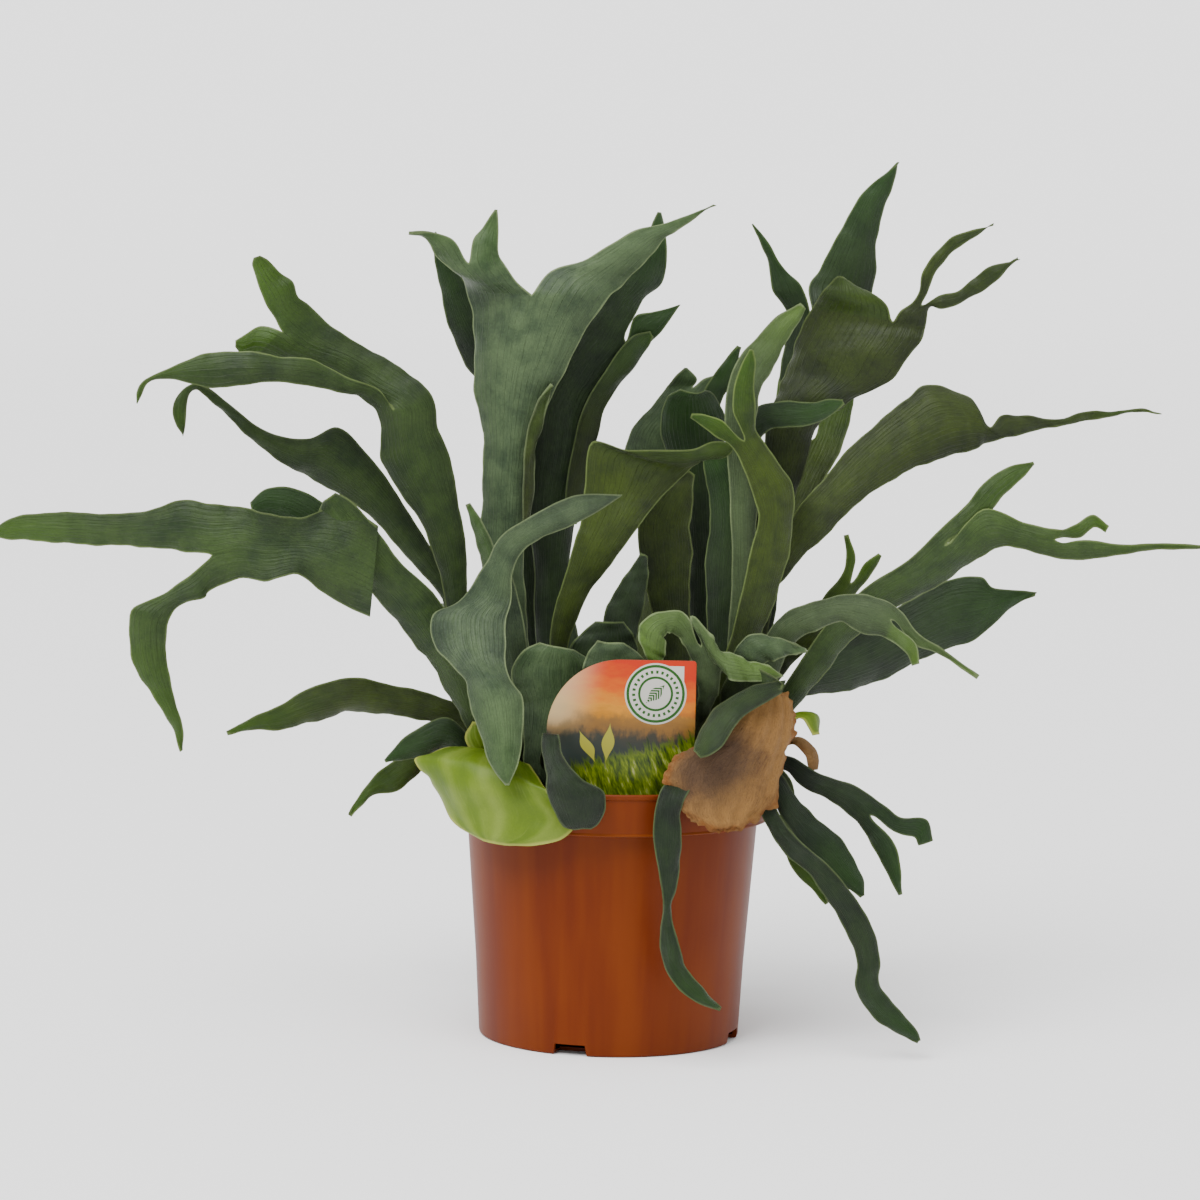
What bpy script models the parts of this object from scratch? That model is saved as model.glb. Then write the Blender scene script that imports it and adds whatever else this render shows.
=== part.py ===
"""A potted staghorn fern: antler-like fronds and shield leaves on crowns in a plastic nursery pot."""
import math

import bmesh
import bpy
import numpy as np

# Driving dimensions, in millimetres.
MM = 0.001
POT_HEIGHT = 137.3
POT_RIM_RADIUS = 85.0
POT_BODY_RADIUS = 75.4
POT_BASE_RADIUS = 66.6
POT_WALL = 1.3
POT_FLOOR = 1.8
POT_RIM_BAND = 21.9
POT_SIDES = 64
NOTCH_COUNT = 4
NOTCH_FIRST_ANGLE = -107.0
NOTCH_WIDTH = 19.0
NOTCH_TOP_WIDTH = 16.0
NOTCH_HEIGHT = 5.6
MIX_TOP = 127.0
MIX_GAP = 0.3
SEAT_GAP = 0.3
FROND_THICKNESS = 1.3
SHIELD_THICKNESS = 1.4
LOBE_COLUMNS = 3
SINGLE_COLUMNS = 5
ROWS_PER_SPAN = 1
BASE_HALF_WIDTH = 2.4
SINUS_TURN = 0.45
LABEL_CENTRE = (3.3, -66.0, 166.0)
LABEL_RADIUS = 37.5
LABEL_THICKNESS = 0.8
STAKE_WIDTH = 11.0
STAKE_DEPTH = 62.0
VIEW = np.array([0.0, 1.0, 0.0])

GREY_GREEN = ("fern_grey_green", (0.115, 0.155, 0.085, 1.0), 0.55)
DARK_GREEN = ("fern_dark_green", (0.035, 0.055, 0.028, 1.0), 0.5)
OLIVE_GREEN = ("fern_olive_green", (0.085, 0.115, 0.05, 1.0), 0.55)
LIGHT_GREEN = ("fern_light_green", (0.16, 0.22, 0.085, 1.0), 0.55)
SHIELD_GREEN = ("fern_shield_green", (0.25, 0.35, 0.07, 1.0), 0.5)
SHIELD_BROWN = ("fern_shield_brown", (0.23, 0.13, 0.07, 1.0), 0.8)
CROWN_BROWN = ("fern_crown", (0.09, 0.06, 0.03, 1.0), 0.9)
MIX_BROWN = ("potting_mix", (0.035, 0.022, 0.014, 1.0), 0.95)
TERRACOTTA = ("terracotta_plastic", (0.33, 0.07, 0.025, 1.0), 0.4)
LABEL_CARD = ("label_card", (0.75, 0.32, 0.12, 1.0), 0.35)

# Crowns: centre x and y, radius, height over the potting mix.
CROWNS = {
    "left": (-56.0, -12.0, 17.0, 20.0),
    "centre": (-18.0, 8.0, 20.0, 22.0),
    "middle": (27.0, 4.0, 14.0, 20.0),
    "right": (60.0, -8.0, 17.0, 22.0),
    "front": (-12.0, -50.0, 12.0, 12.0),
    "back": (4.0, 51.0, 17.0, 18.0),
}


class Segment:
    """One stretch of a frond: stations of (x, y, z, half width[, roll, curl]) and the lobes it forks into."""

    def __init__(self, stations, splits=(), lobes=(), roll=0.0, curl=20.0, across=None):
        self.stations = []
        for station in stations:
            turn = station[4] if len(station) > 4 else roll
            bend = station[5] if len(station) > 5 else curl
            self.stations.append((np.array(station[:3], float), station[3], turn, bend))
        self.splits = list(splits)
        self.lobes = list(lobes)
        self.across = None if across is None else np.array(across, float)

    def columns(self, count):
        """The places across this stretch, from -1 to 1, where its vein lines run."""
        if not self.lobes:
            return list(np.linspace(-1.0, 1.0, count))
        bounds = [-1.0] + self.splits + [1.0]
        places = []
        for index, lobe in enumerate(self.lobes):
            low, high = bounds[index], bounds[index + 1]
            inner = [low + (t + 1.0) / 2.0 * (high - low) for t in lobe.columns(count)]
            places += inner if index == 0 else inner[1:]
        return places


def unit(vector):
    """The vector at a length of one."""
    return vector / max(np.linalg.norm(vector), 1e-9)


def control_row(centre, tangent, half_width, roll, curl, across, places):
    """The points across a station: a circular arc, turned by roll about the run of the frond."""
    if across is None:
        side = unit(np.cross(VIEW, tangent))
    else:
        side = unit(across - tangent * np.dot(across, tangent))
    face = unit(np.cross(side, tangent))
    turn = math.radians(roll)
    side, face = (
        side * math.cos(turn) + face * math.sin(turn),
        face * math.cos(turn) - side * math.sin(turn),
    )
    bend = math.radians(curl)
    row = []
    for place in places:
        if abs(bend) < 1e-3:
            row.append(centre + side * half_width * place)
            continue
        out = half_width * math.sin(bend * place) / bend
        back = half_width * (1.0 - math.cos(bend * place)) / bend
        row.append(centre + side * out - face * back)
    return np.array(row)


class Sheet:
    """The middle surface of a frond, grown stretch by stretch."""

    def __init__(self, rows_per_span):
        self.points = []
        self.faces = []
        self.rows_per_span = rows_per_span

    def add_row(self, row):
        first = len(self.points)
        self.points += [np.array(p) for p in row]
        return list(range(first, first + len(row)))

    def join_rows(self, lower, upper):
        for j in range(len(lower) - 1):
            self.faces.append((lower[j], lower[j + 1], upper[j + 1], upper[j]))

    def net(self, segment, places, start_centre):
        """Control rows of the segment's own stations."""
        centres = [station[0] for station in segment.stations]
        rows = []
        for i, (centre, half_width, roll, curl) in enumerate(segment.stations):
            before = centres[i - 1] if i else (start_centre if start_centre is not None else centre)
            after = centres[i + 1] if i + 1 < len(centres) else centre
            tangent = unit(after - before)
            rows.append(control_row(centre, tangent, half_width, roll, curl, segment.across, places))
        return rows

    def grow(self, segment, count, start=None):
        """Add the segment; start holds the fork row's indices, points, run and middle."""
        places = segment.columns(count)
        start_centre = None if start is None else start["centre"]
        rows = self.net(segment, places, start_centre)
        centres = [station[0] for station in segment.stations]
        if start is not None:
            rows = [start["points"]] + rows
            centres = [start["centre"]] + centres
        lengths = [max(np.linalg.norm(centres[i + 1] - centres[i]), 1.0) for i in range(len(centres) - 1)]
        nexts = self.first_rows(segment, places, count, rows[-1])
        runs = []
        for i, row in enumerate(rows):
            if i == 0 and start is not None:
                runs.append(start["runs"])
            elif i == 0:
                runs.append((rows[1] - row) / lengths[0])
            elif i + 1 < len(rows):
                runs.append((rows[i + 1] - rows[i - 1]) / (lengths[i] + lengths[i - 1]))
            elif nexts is not None:
                ahead = np.mean(np.linalg.norm(nexts - row, axis=1))
                runs.append((nexts - rows[i - 1]) / (ahead + lengths[i - 1]))
            else:
                runs.append((row - rows[i - 1]) / lengths[i - 1])
        lower = self.add_row(rows[0]) if start is None else start["indices"]
        for i in range(len(rows) - 1):
            for step in range(1, self.rows_per_span + 1):
                s = step / self.rows_per_span
                a = 2 * s**3 - 3 * s**2 + 1
                b = s**3 - 2 * s**2 + s
                c = -2 * s**3 + 3 * s**2
                d = s**3 - s**2
                run = lengths[i]
                point = a * rows[i] + b * run * runs[i] + c * rows[i + 1] + d * run * runs[i + 1]
                upper = self.add_row(point)
                self.join_rows(lower, upper)
                lower = upper
        self.fork(segment, count, places, rows[-1], runs[-1], lower)

    def lobe_slices(self, segment, count):
        """The first and last column of each lobe on its parent's last row."""
        slices = []
        first = 0
        for lobe in segment.lobes:
            last = first + len(lobe.columns(count)) - 1
            slices.append((first, last))
            first = last
        return slices

    def first_rows(self, segment, places, count, row):
        """The next row seen from the fork, with the shared vein lines averaged."""
        if not segment.lobes:
            return None
        total = np.zeros_like(row)
        hits = np.zeros((len(places), 1))
        for lobe, (first, last) in zip(segment.lobes, self.lobe_slices(segment, count)):
            middle = row[(first + last) // 2]
            ahead = self.net(lobe, lobe.columns(count), middle)[0]
            total[first : last + 1] += ahead
            hits[first : last + 1] += 1
        return total / hits

    def fork(self, segment, count, places, row, runs, indices):
        """Start each lobe, turning its inner edge sideways so that the gap between lobes is round."""
        slices = self.lobe_slices(segment, count)
        for number, (lobe, (first, last)) in enumerate(zip(segment.lobes, slices)):
            own = runs[first : last + 1].copy()
            points = row[first : last + 1]
            side = unit(points[-1] - points[0])
            speed = np.linalg.norm(own, axis=1).mean()
            if number > 0:
                own[0] = own[0] * (1 - SINUS_TURN) + side * speed * SINUS_TURN
            if number + 1 < len(slices):
                own[-1] = own[-1] * (1 - SINUS_TURN) - side * speed * SINUS_TURN
            self.grow(
                lobe,
                count,
                {
                    "indices": indices[first : last + 1],
                    "points": points,
                    "runs": own,
                    "centre": points[len(points) // 2] if len(points) % 2 else points.mean(axis=0),
                },
            )


def thicken(points, faces, thickness):
    """A closed body either side of the middle surface."""
    points = np.array(points)
    normals = np.zeros_like(points)
    for face in faces:
        p = points[list(face)]
        normal = np.cross(p[2] - p[0], p[3] - p[1])
        for index in face:
            normals[index] += normal
    normals /= np.maximum(np.linalg.norm(normals, axis=1, keepdims=True), 1e-9)
    half = thickness / 2.0
    count = len(points)
    shell = np.vstack([points + normals * half, points - normals * half])
    walls = [tuple(face) for face in faces]
    walls += [tuple(index + count for index in reversed(face)) for face in faces]
    edges = {}
    for face in faces:
        for i in range(4):
            edges[(face[i], face[(i + 1) % 4])] = True
    for start, end in edges:
        if (end, start) not in edges:
            walls.append((end, start, start + count, end + count))
    return shell, walls


def material(finish):
    """One material per finish, shared by the pieces that carry it."""
    name, colour, roughness = finish
    found = bpy.data.materials.get(name)
    if found:
        return found
    made = bpy.data.materials.new(name)
    made.use_nodes = True
    shader = made.node_tree.nodes["Principled BSDF"]
    shader.inputs["Base Color"].default_value = colour
    shader.inputs["Roughness"].default_value = roughness
    return made


def add_object(name, points, faces, finish, origin):
    """A named piece, its mesh about its own origin."""
    mesh = bpy.data.meshes.new(name)
    local = (np.array(points) - np.array(origin)) * MM
    mesh.from_pydata([tuple(p) for p in local], [], faces)
    builder = bmesh.new()
    builder.from_mesh(mesh)
    bmesh.ops.recalc_face_normals(builder, faces=builder.faces)
    bmesh.ops.triangulate(builder, faces=builder.faces)
    builder.to_mesh(mesh)
    builder.free()
    mesh.materials.append(material(finish))
    piece = bpy.data.objects.new(name, mesh)
    piece.location = tuple(c * MM for c in origin)
    bpy.context.scene.collection.objects.link(piece)
    return piece


def crown_seat(crown, towards, lift=SEAT_GAP):
    """The place on a crown's dome that faces a point, just clear of its surface."""
    x, y, radius, height = CROWNS[crown]
    centre = np.array([x, y, MIX_TOP])
    ray = np.array(towards, float) - centre
    ray[2] = max(ray[2], 2.0)
    scale = np.array([radius, radius, height])
    reach = 1.0 / np.linalg.norm(ray / scale)
    surface = centre + ray * reach
    return surface + unit((surface - centre) / scale**2) * (lift + 0.3)


def frond(name, crown, segment, finish, base=BASE_HALF_WIDTH, thickness=FROND_THICKNESS):
    """A frond grown from its crown."""
    seat = crown_seat(crown, segment.stations[0][0])
    first = segment.stations[0]
    segment.stations.insert(0, (seat, base, first[2], first[3]))
    count = LOBE_COLUMNS if segment.lobes else SINGLE_COLUMNS
    sheet = Sheet(ROWS_PER_SPAN)
    sheet.grow(segment, count)
    points, faces = thicken(sheet.points, sheet.faces, thickness)
    add_object(name, points, faces, finish, seat)


def revolve(profile, sides):
    """A closed body of revolution from a profile that starts and ends on the axis."""
    points = []
    faces = []
    ring = []
    for radius, height in profile:
        if radius == 0.0:
            ring.append([len(points)])
            points.append((0.0, 0.0, height))
            continue
        row = []
        for i in range(sides):
            angle = 2.0 * math.pi * i / sides
            row.append(len(points))
            points.append((radius * math.cos(angle), radius * math.sin(angle), height))
        ring.append(row)
    for lower, upper in zip(ring, ring[1:]):
        for i in range(sides):
            j = (i + 1) % sides
            if len(lower) == 1:
                faces.append((lower[0], upper[i], upper[j]))
            elif len(upper) == 1:
                faces.append((lower[i], lower[j], upper[0]))
            else:
                faces.append((lower[i], lower[j], upper[j], upper[i]))
    return points, faces


def prism(outline, low, high):
    """A straight prism from an outline in the XZ plane between two Y values."""
    count = len(outline)
    points = [(x, low, z) for x, z in outline] + [(x, high, z) for x, z in outline]
    faces = [tuple(range(count)), tuple(range(2 * count - 1, count - 1, -1))]
    for i in range(count):
        j = (i + 1) % count
        faces.append((i, j, j + count, i + count))
    return points, faces


def cut(body, cutters):
    """Take the cutters out of the body."""
    for cutter in cutters:
        cutter.hide_render = True
        cutter.display_type = "WIRE"
        change = body.modifiers.new("cut", "BOOLEAN")
        change.operation = "DIFFERENCE"
        change.solver = "EXACT"
        change.object = cutter
    evaluated = body.evaluated_get(bpy.context.evaluated_depsgraph_get())
    mesh = bpy.data.meshes.new_from_object(evaluated)
    body.modifiers.clear()
    body.data = mesh
    for cutter in cutters:
        bpy.data.objects.remove(cutter)


def build_pot():
    """The pot: a thin tapered wall, a rim band, a flat base and drainage notches at the foot."""
    band = POT_HEIGHT - POT_RIM_BAND
    profile = [
        (0.0, 0.0),
        (POT_BASE_RADIUS, 0.0),
        (POT_BODY_RADIUS, band),
        (POT_RIM_RADIUS - 2.2, band),
        (POT_RIM_RADIUS - 0.9, POT_HEIGHT - 2.4),
        (POT_RIM_RADIUS, POT_HEIGHT - 1.8),
        (POT_RIM_RADIUS, POT_HEIGHT),
        (POT_RIM_RADIUS - 2.4, POT_HEIGHT),
        (POT_RIM_RADIUS - 3.6, band + POT_WALL),
        (POT_BODY_RADIUS - POT_WALL, band + POT_WALL),
        (POT_BASE_RADIUS - POT_WALL, POT_FLOOR),
        (0.0, POT_FLOOR),
    ]
    points, faces = revolve(profile, POT_SIDES)
    pot = add_object("nursery_pot", points, faces, TERRACOTTA, (0.0, 0.0, 0.0))
    half, top = NOTCH_WIDTH / 2, NOTCH_TOP_WIDTH / 2
    outline = [(-half - 0.5, -1.0), (half + 0.5, -1.0), (top, NOTCH_HEIGHT), (-top, NOTCH_HEIGHT)]
    cutters = []
    for i in range(NOTCH_COUNT):
        points, faces = prism(outline, 54.0, 76.0)
        cutter = add_object("notch_cutter", points, faces, TERRACOTTA, (0.0, 0.0, 0.0))
        cutter.rotation_euler[2] = math.radians(NOTCH_FIRST_ANGLE - 90.0 + 360.0 / NOTCH_COUNT * i)
        cutters.append(cutter)
    bpy.context.view_layer.update()
    cut(pot, cutters)


def build_mix():
    """The potting mix, filling the pot to just under its rim, with a slot for the label's stake."""
    band = POT_HEIGHT - POT_RIM_BAND
    gap = MIX_GAP + 0.15
    profile = [
        (0.0, POT_FLOOR + MIX_GAP),
        (POT_BASE_RADIUS - POT_WALL - gap, POT_FLOOR + MIX_GAP),
        (POT_BODY_RADIUS - POT_WALL - gap, band + POT_WALL + MIX_GAP),
        (POT_RIM_RADIUS - 3.6 - gap, band + POT_WALL + MIX_GAP),
        (POT_RIM_RADIUS - 3.2 - gap, MIX_TOP),
        (0.0, MIX_TOP),
    ]
    points, faces = revolve(profile, POT_SIDES)
    mix = add_object("potting_mix", points, faces, MIX_BROWN, (0.0, 0.0, 0.0))
    x, y, z = LABEL_CENTRE
    half = STAKE_WIDTH / 2 + MIX_GAP
    bottom = MIX_TOP - STAKE_DEPTH
    outline = [
        (x, bottom - 0.5),
        (x + half, bottom + STAKE_WIDTH),
        (x + half, MIX_TOP + 5.0),
        (x - half, MIX_TOP + 5.0),
        (x - half, bottom + STAKE_WIDTH),
    ]
    reach = LABEL_THICKNESS / 2 + MIX_GAP
    points, faces = prism(outline, y - reach, y + reach)
    cutter = add_object("slot_cutter", points, faces, MIX_BROWN, (0.0, 0.0, 0.0))
    bpy.context.view_layer.update()
    cut(mix, [cutter])


def build_label():
    """The plant label: a drop-shaped card with one square corner, on a stake."""
    x, y, z = LABEL_CENTRE
    radius = LABEL_RADIUS
    half = STAKE_WIDTH / 2
    bottom = MIX_TOP - STAKE_DEPTH
    outline = [(x + radius, z + radius)]
    start = math.asin(half / radius)
    for i in range(22):
        angle = math.pi / 2 + (math.pi - start) * i / 21
        outline.append((x + radius * math.cos(angle), z + radius * math.sin(angle)))
    outline += [(x - half, bottom + STAKE_WIDTH), (x, bottom + 0.5), (x + half, bottom + STAKE_WIDTH)]
    for i in range(8):
        angle = -math.pi / 2 + start + (math.pi / 2 - start) * i / 7
        outline.append((x + radius * math.cos(angle), z + radius * math.sin(angle)))
    points, faces = prism(outline, y - LABEL_THICKNESS / 2, y + LABEL_THICKNESS / 2)
    add_object("plant_label", points, faces, LABEL_CARD, LABEL_CENTRE)


def build_crowns():
    """The crowns: low domes of rhizome on the potting mix."""
    levels = 5
    sides = 18
    for name, (x, y, radius, height) in CROWNS.items():
        profile = [(0.0, 0.0), (radius, 0.0)]
        for i in range(1, levels):
            angle = math.pi / 2 * i / levels
            profile.append((radius * math.cos(angle), height * math.sin(angle)))
        profile.append((0.0, height))
        points, faces = revolve(profile, sides)
        origin = (x, y, MIX_TOP + SEAT_GAP)
        moved = [(a + origin[0], b + origin[1], c + origin[2]) for a, b, c in points]
        add_object("crown_" + name, moved, faces, CROWN_BROWN, origin)


def left_fronds():
    """Fronds that lean to the left."""
    long_lobe = Segment(
        [(-216, -48, 265, 13), (-237, -45, 263, 9.5), (-262, -41, 261, 8.5), (-289, -36, 262, 7),
         (-311, -32, 259, 3.8), (-320, -30, 257, 1)], roll=10, curl=25)
    down_lobe = Segment(
        [(-214, -56, 236, 7), (-232, -60, 222, 10), (-235, -60, 204, 9.5), (-229, -59, 181, 7),
         (-221, -58, 161, 4), (-218, -58, 150, 1)], roll=-15, curl=25)
    frond("frond_left_long", "left", Segment(
        [(-72, -30, 168, 7), (-85, -38, 198, 11), (-104, -45, 226, 15), (-128, -51, 248, 22),
         (-153, -54, 256, 23, 20, -30), (-185, -54, 259, 17, 10, -20)],
        [-0.15], [down_lobe, long_lobe], roll=20, curl=30), GREY_GREEN)
    frond("frond_left_behind", "left", Segment(
        [(-76, -14, 176, 5), (-98, -20, 214, 6), (-124, -24, 244, 8), (-148, -27, 262, 10), (-165, -28, 272, 11),
         (-179, -28, 275, 8), (-187, -28, 273, 3)], curl=35), DARK_GREEN)
    side = Segment([(-183, 12, 359, 7), (-198, 14, 354, 1)])
    tip = Segment([(-174, 10, 377, 8), (-182, 12, 391, 6), (-187, 14, 400, 1.5)])
    upper = Segment(
        [(-125, 10, 337, 14), (-145, 10, 350, 14), (-162, 10, 361, 14)], [0.0], [side, tip], roll=-15, curl=35)
    left = Segment(
        [(-142, -10, 337, 7.5), (-165, -12, 344, 7.5), (-188, -14, 345, 8), (-210, -15, 341, 7.5),
         (-232, -15, 339, 4.5), (-243, -14, 335, 2), (-247, -13, 330, 3), (-248, -12, 326, 1.2)], roll=15)
    frond("frond_left_high", "left", Segment(
        [(-72, 2, 180, 7), (-81, 4, 212, 8), (-84, 4, 241, 9), (-91, 4, 264, 10.5), (-101, 3, 286, 17.5),
         (-106, 2, 305, 16.5), (-111, 1, 321, 16)], [0.1], [left, upper], roll=-12, curl=35), OLIVE_GREEN)
    frond("frond_left_middle", "left", Segment(
        [(-76, 20, 178, 6), (-87, 26, 207, 6), (-98, 30, 234, 6.5), (-109, 30, 256, 9), (-123, 28, 278, 13),
         (-139, 26, 293, 16), (-157, 24, 298, 12), (-174, 20, 303, 8), (-190, 14, 312, 5.5),
         (-206, 8, 324, 4), (-216, 4, 332, 2.4), (-221, 0, 333, 2), (-224, -2, 326, 4),
         (-223, -3, 316, 4.4), (-222, -3, 308, 1.2)], roll=-15, curl=30), DARK_GREEN)
    frond("frond_left_low", "left", Segment(
        [(-77, -8, 163, 5), (-92, -10, 169, 6.5), (-111, -14, 173, 8), (-135, -18, 175, 10, 20, 50),
         (-154, -22, 171, 9, 15, 45), (-172, -26, 165, 5.5), (-186, -30, 162, 2.8), (-198, -33, 158, 1)],
        curl=35), OLIVE_GREEN)
    frond("frond_left_small_upper", "left", Segment(
        [(-77, -24, 151, 6), (-87, -27, 157, 9.5, 20, 50), (-99, -29, 153, 7.5, 15, 45), (-109, -31, 149, 4.5),
         (-117, -33, 145, 1)], curl=40), DARK_GREEN)
    frond("frond_left_small_lower", "left", Segment(
        [(-76, 2, 146, 4), (-92, 0, 147, 5), (-105, -8, 139, 6.5), (-116, -14, 132, 6.5), (-124, -18, 128, 3.4),
         (-131, -22, 121, 2), (-135, -24, 115, 1)], curl=30), OLIVE_GREEN)


def centre_fronds():
    """The tall middle fronds."""
    far_left = Segment([(-97, -2, 413, 5), (-109, -4, 415, 1.2)])
    near_left = Segment([(-67, 12, 417, 5), (-64, 14, 425, 1.2)])
    left = Segment([(-72, 10, 394, 13.5), (-79, 8, 404, 15)], [0.0], [far_left, near_left])
    right = Segment(
        [(-20, 16, 389, 13), (-2, 18, 400, 11), (14, 18, 411, 7), (32, 16, 421, 3), (47, 14, 430, 1.2)])
    frond("frond_centre_broad", "left", Segment(
        [(-50, 6, 173, 6), (-54, 9, 204, 9), (-58, 11, 237, 12), (-58, 13, 271, 13.5), (-57, 14, 301, 14.5),
         (-56, 14, 327, 18), (-52, 14, 350, 25), (-47, 14, 368, 31), (-41, 14, 383, 36, 0, 20)],
        [-0.05], [left, right], roll=8, curl=30), GREY_GREEN)
    upper = Segment([(9, 48, 386, 13), (14, 50, 403, 8.5), (17, 52, 416, 5.5), (18, 54, 426, 2.5)])
    side = Segment([(14, 48, 362, 7), (23, 50, 370, 4), (29, 52, 377, 1)])
    frond("frond_centre_dark", "centre", Segment(
        [(-28, 20, 174, 6), (-34, 28, 202, 8), (-34, 34, 238, 9), (-32, 38, 273, 14), (-26, 40, 299, 18),
         (-24, 42, 322, 19), (-18, 44, 343, 20), (-8, 46, 359, 20)], [0.35], [upper, side],
        roll=-10, curl=30), DARK_GREEN)
    frond("frond_centre_left_dark", "centre", Segment(
        [(-34, 22, 160, 5), (-44, 42, 198, 7), (-50, 54, 250, 8), (-52, 60, 301, 9), (-58, 63, 328, 10),
         (-71, 63, 348, 12), (-82, 61, 366, 9.5), (-89, 59, 384, 7), (-94, 56, 398, 4.5), (-99, 52, 412, 1.5)],
        curl=30), DARK_GREEN)
    frond("frond_left_inner_small", "left", Segment(
        [(-59, -18, 178, 4), (-62, -12, 210, 4), (-63, -12, 236, 4.5), (-68, -12, 254, 4.5), (-73, -12, 266, 3.5),
         (-77, -12, 276, 1)], roll=20, curl=20), GREY_GREEN)
    down = Segment(
        [(-66, -64, 240, 15), (-76, -72, 223, 18), (-73, -77, 203, 15), (-65, -81, 184, 13),
         (-59, -85, 168, 11.5), (-56, -89, 153, 8), (-54, -93, 140, 1.5)], across=(0.89, 0, 0.46), curl=-25)
    right = Segment(
        [(-44, -56, 263, 7.5), (-31, -58, 273, 7), (-13, -58, 280, 5), (2, -56, 285, 1)], curl=35)
    frond("frond_front_folded", "left", Segment(
        [(-46, -34, 160, 5), (-49, -40, 188, 6), (-53, -45, 214, 8), (-57, -50, 236, 13)],
        [0.1], [down, right], curl=15), GREY_GREEN)
    tooth = Segment([(-9, -12, 301, 5), (-11, -12, 307, 1)])
    sweep = Segment([(20, -16, 297, 13), (39, -20, 303, 6.5), (53, -22, 308, 4), (62, -22, 311, 1)])
    frond("frond_centre_olive", "centre", Segment(
        [(-28, -8, 170, 5.5), (-30, -10, 196, 6.5), (-24, -12, 225, 8), (-12, -12, 250, 12.5),
         (-2, -12, 268, 17), (6, -12, 284, 22)], [-0.5], [tooth, sweep], roll=-12, curl=25), OLIVE_GREEN)


def middle_fronds():
    """The cluster between the centre and the right."""
    frond("frond_middle_underside", "middle", Segment(
        [(31, 10, 175, 6), (32, 12, 201, 8), (28, 13, 226, 11), (26, 13, 249, 14), (25, 13, 266, 13.5),
         (31, 13, 281, 9), (38, 13, 292, 2)], roll=15, curl=-25), LIGHT_GREEN)
    frond("frond_middle_slate", "middle", Segment(
        [(43, -6, 165, 5), (52, -8, 182, 6), (54, -8, 207, 7), (55, -8, 229, 9), (57, -8, 251, 12),
         (59, -8, 268, 12), (56, -6, 287, 11), (50, -4, 300, 8), (44, -3, 306, 3)], roll=10, curl=20), DARK_GREEN)
    up = Segment([(63, -32, 328, 6), (63, -32, 341, 5), (65, -32, 352, 3.5), (66, -32, 359, 1)])
    left = Segment([(50, -35, 319, 4.5), (42, -36, 323, 3), (36, -36, 325, 1.2)])
    frond("frond_middle_front", "middle", Segment(
        [(45, -22, 166, 5), (56, -28, 186, 6), (65, -31, 208, 7), (73, -31, 234, 9), (78, -31, 255, 10),
         (81, -30, 273, 9), (79, -30, 287, 10.5), (72, -30, 300, 8.5), (64, -31, 313, 8)], [-0.1], [left, up],
        roll=-10, curl=25), OLIVE_GREEN)
    frond("frond_middle_round", "middle", Segment(
        [(38, 22, 165, 5), (44, 28, 204, 6), (45, 28, 244, 8), (43, 27, 276, 10), (40, 24, 302, 15),
         (38, 19, 317, 16.5), (37, 12, 329, 12), (37, 5, 334, 6)], curl=45), DARK_GREEN)
    frond("frond_middle_pale", "middle", Segment(
        [(30, 34, 170, 5), (33, 44, 202, 6), (29, 52, 248, 9), (20, 54, 284, 13), (19, 54, 309, 15),
         (28, 52, 328, 13), (41, 50, 338, 5), (53, 48, 344, 1.2)], roll=-10, curl=25), LIGHT_GREEN)
    frond("frond_middle_narrow", "middle", Segment(
        [(46, 40, 170, 4.5), (54, 46, 230, 5), (50, 48, 280, 5), (46, 46, 316, 5), (49, 45, 330, 5),
         (56, 44, 343, 4.5), (62, 43, 356, 1)], curl=25), DARK_GREEN)
    frond("frond_middle_right_tip", "middle", Segment(
        [(38, 14, 166, 4), (54, 20, 210, 5), (62, 14, 262, 6), (63, 8, 296, 6), (66, 4, 313, 7),
         (74, 2, 322, 7), (86, 1, 324, 6.5), (99, 1, 325, 5.5), (108, 1, 328, 4), (115, 2, 331, 1)],
        roll=10, curl=30), DARK_GREEN)
    frond("frond_curly_over_label", "middle", Segment(
        [(38, -38, 164, 5), (45, -48, 187, 6.5), (47, -53, 202, 7), (42, -55, 212, 6), (34, -57, 222, 5),
         (27, -59, 226, 6), (21, -60, 221, 7), (18, -60, 211, 7), (17, -59, 203, 4)], curl=25), LIGHT_GREEN)
    frond("frond_curly_right", "right", Segment(
        [(59, -37, 175, 5), (62, -51, 193, 6.5), (69, -58, 197, 6), (76, -61, 196, 5), (87, -61, 196, 2.5),
         (92, -61, 194, 1)], roll=15, curl=-35), LIGHT_GREEN)
    frond("frond_curly_grey", "right", Segment(
        [(62, -34, 184, 5.5), (69, -47, 202, 8), (78, -52, 207, 6), (89, -53, 208, 3.5), (97, -54, 209, 1)],
        curl=30), GREY_GREEN)


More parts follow.
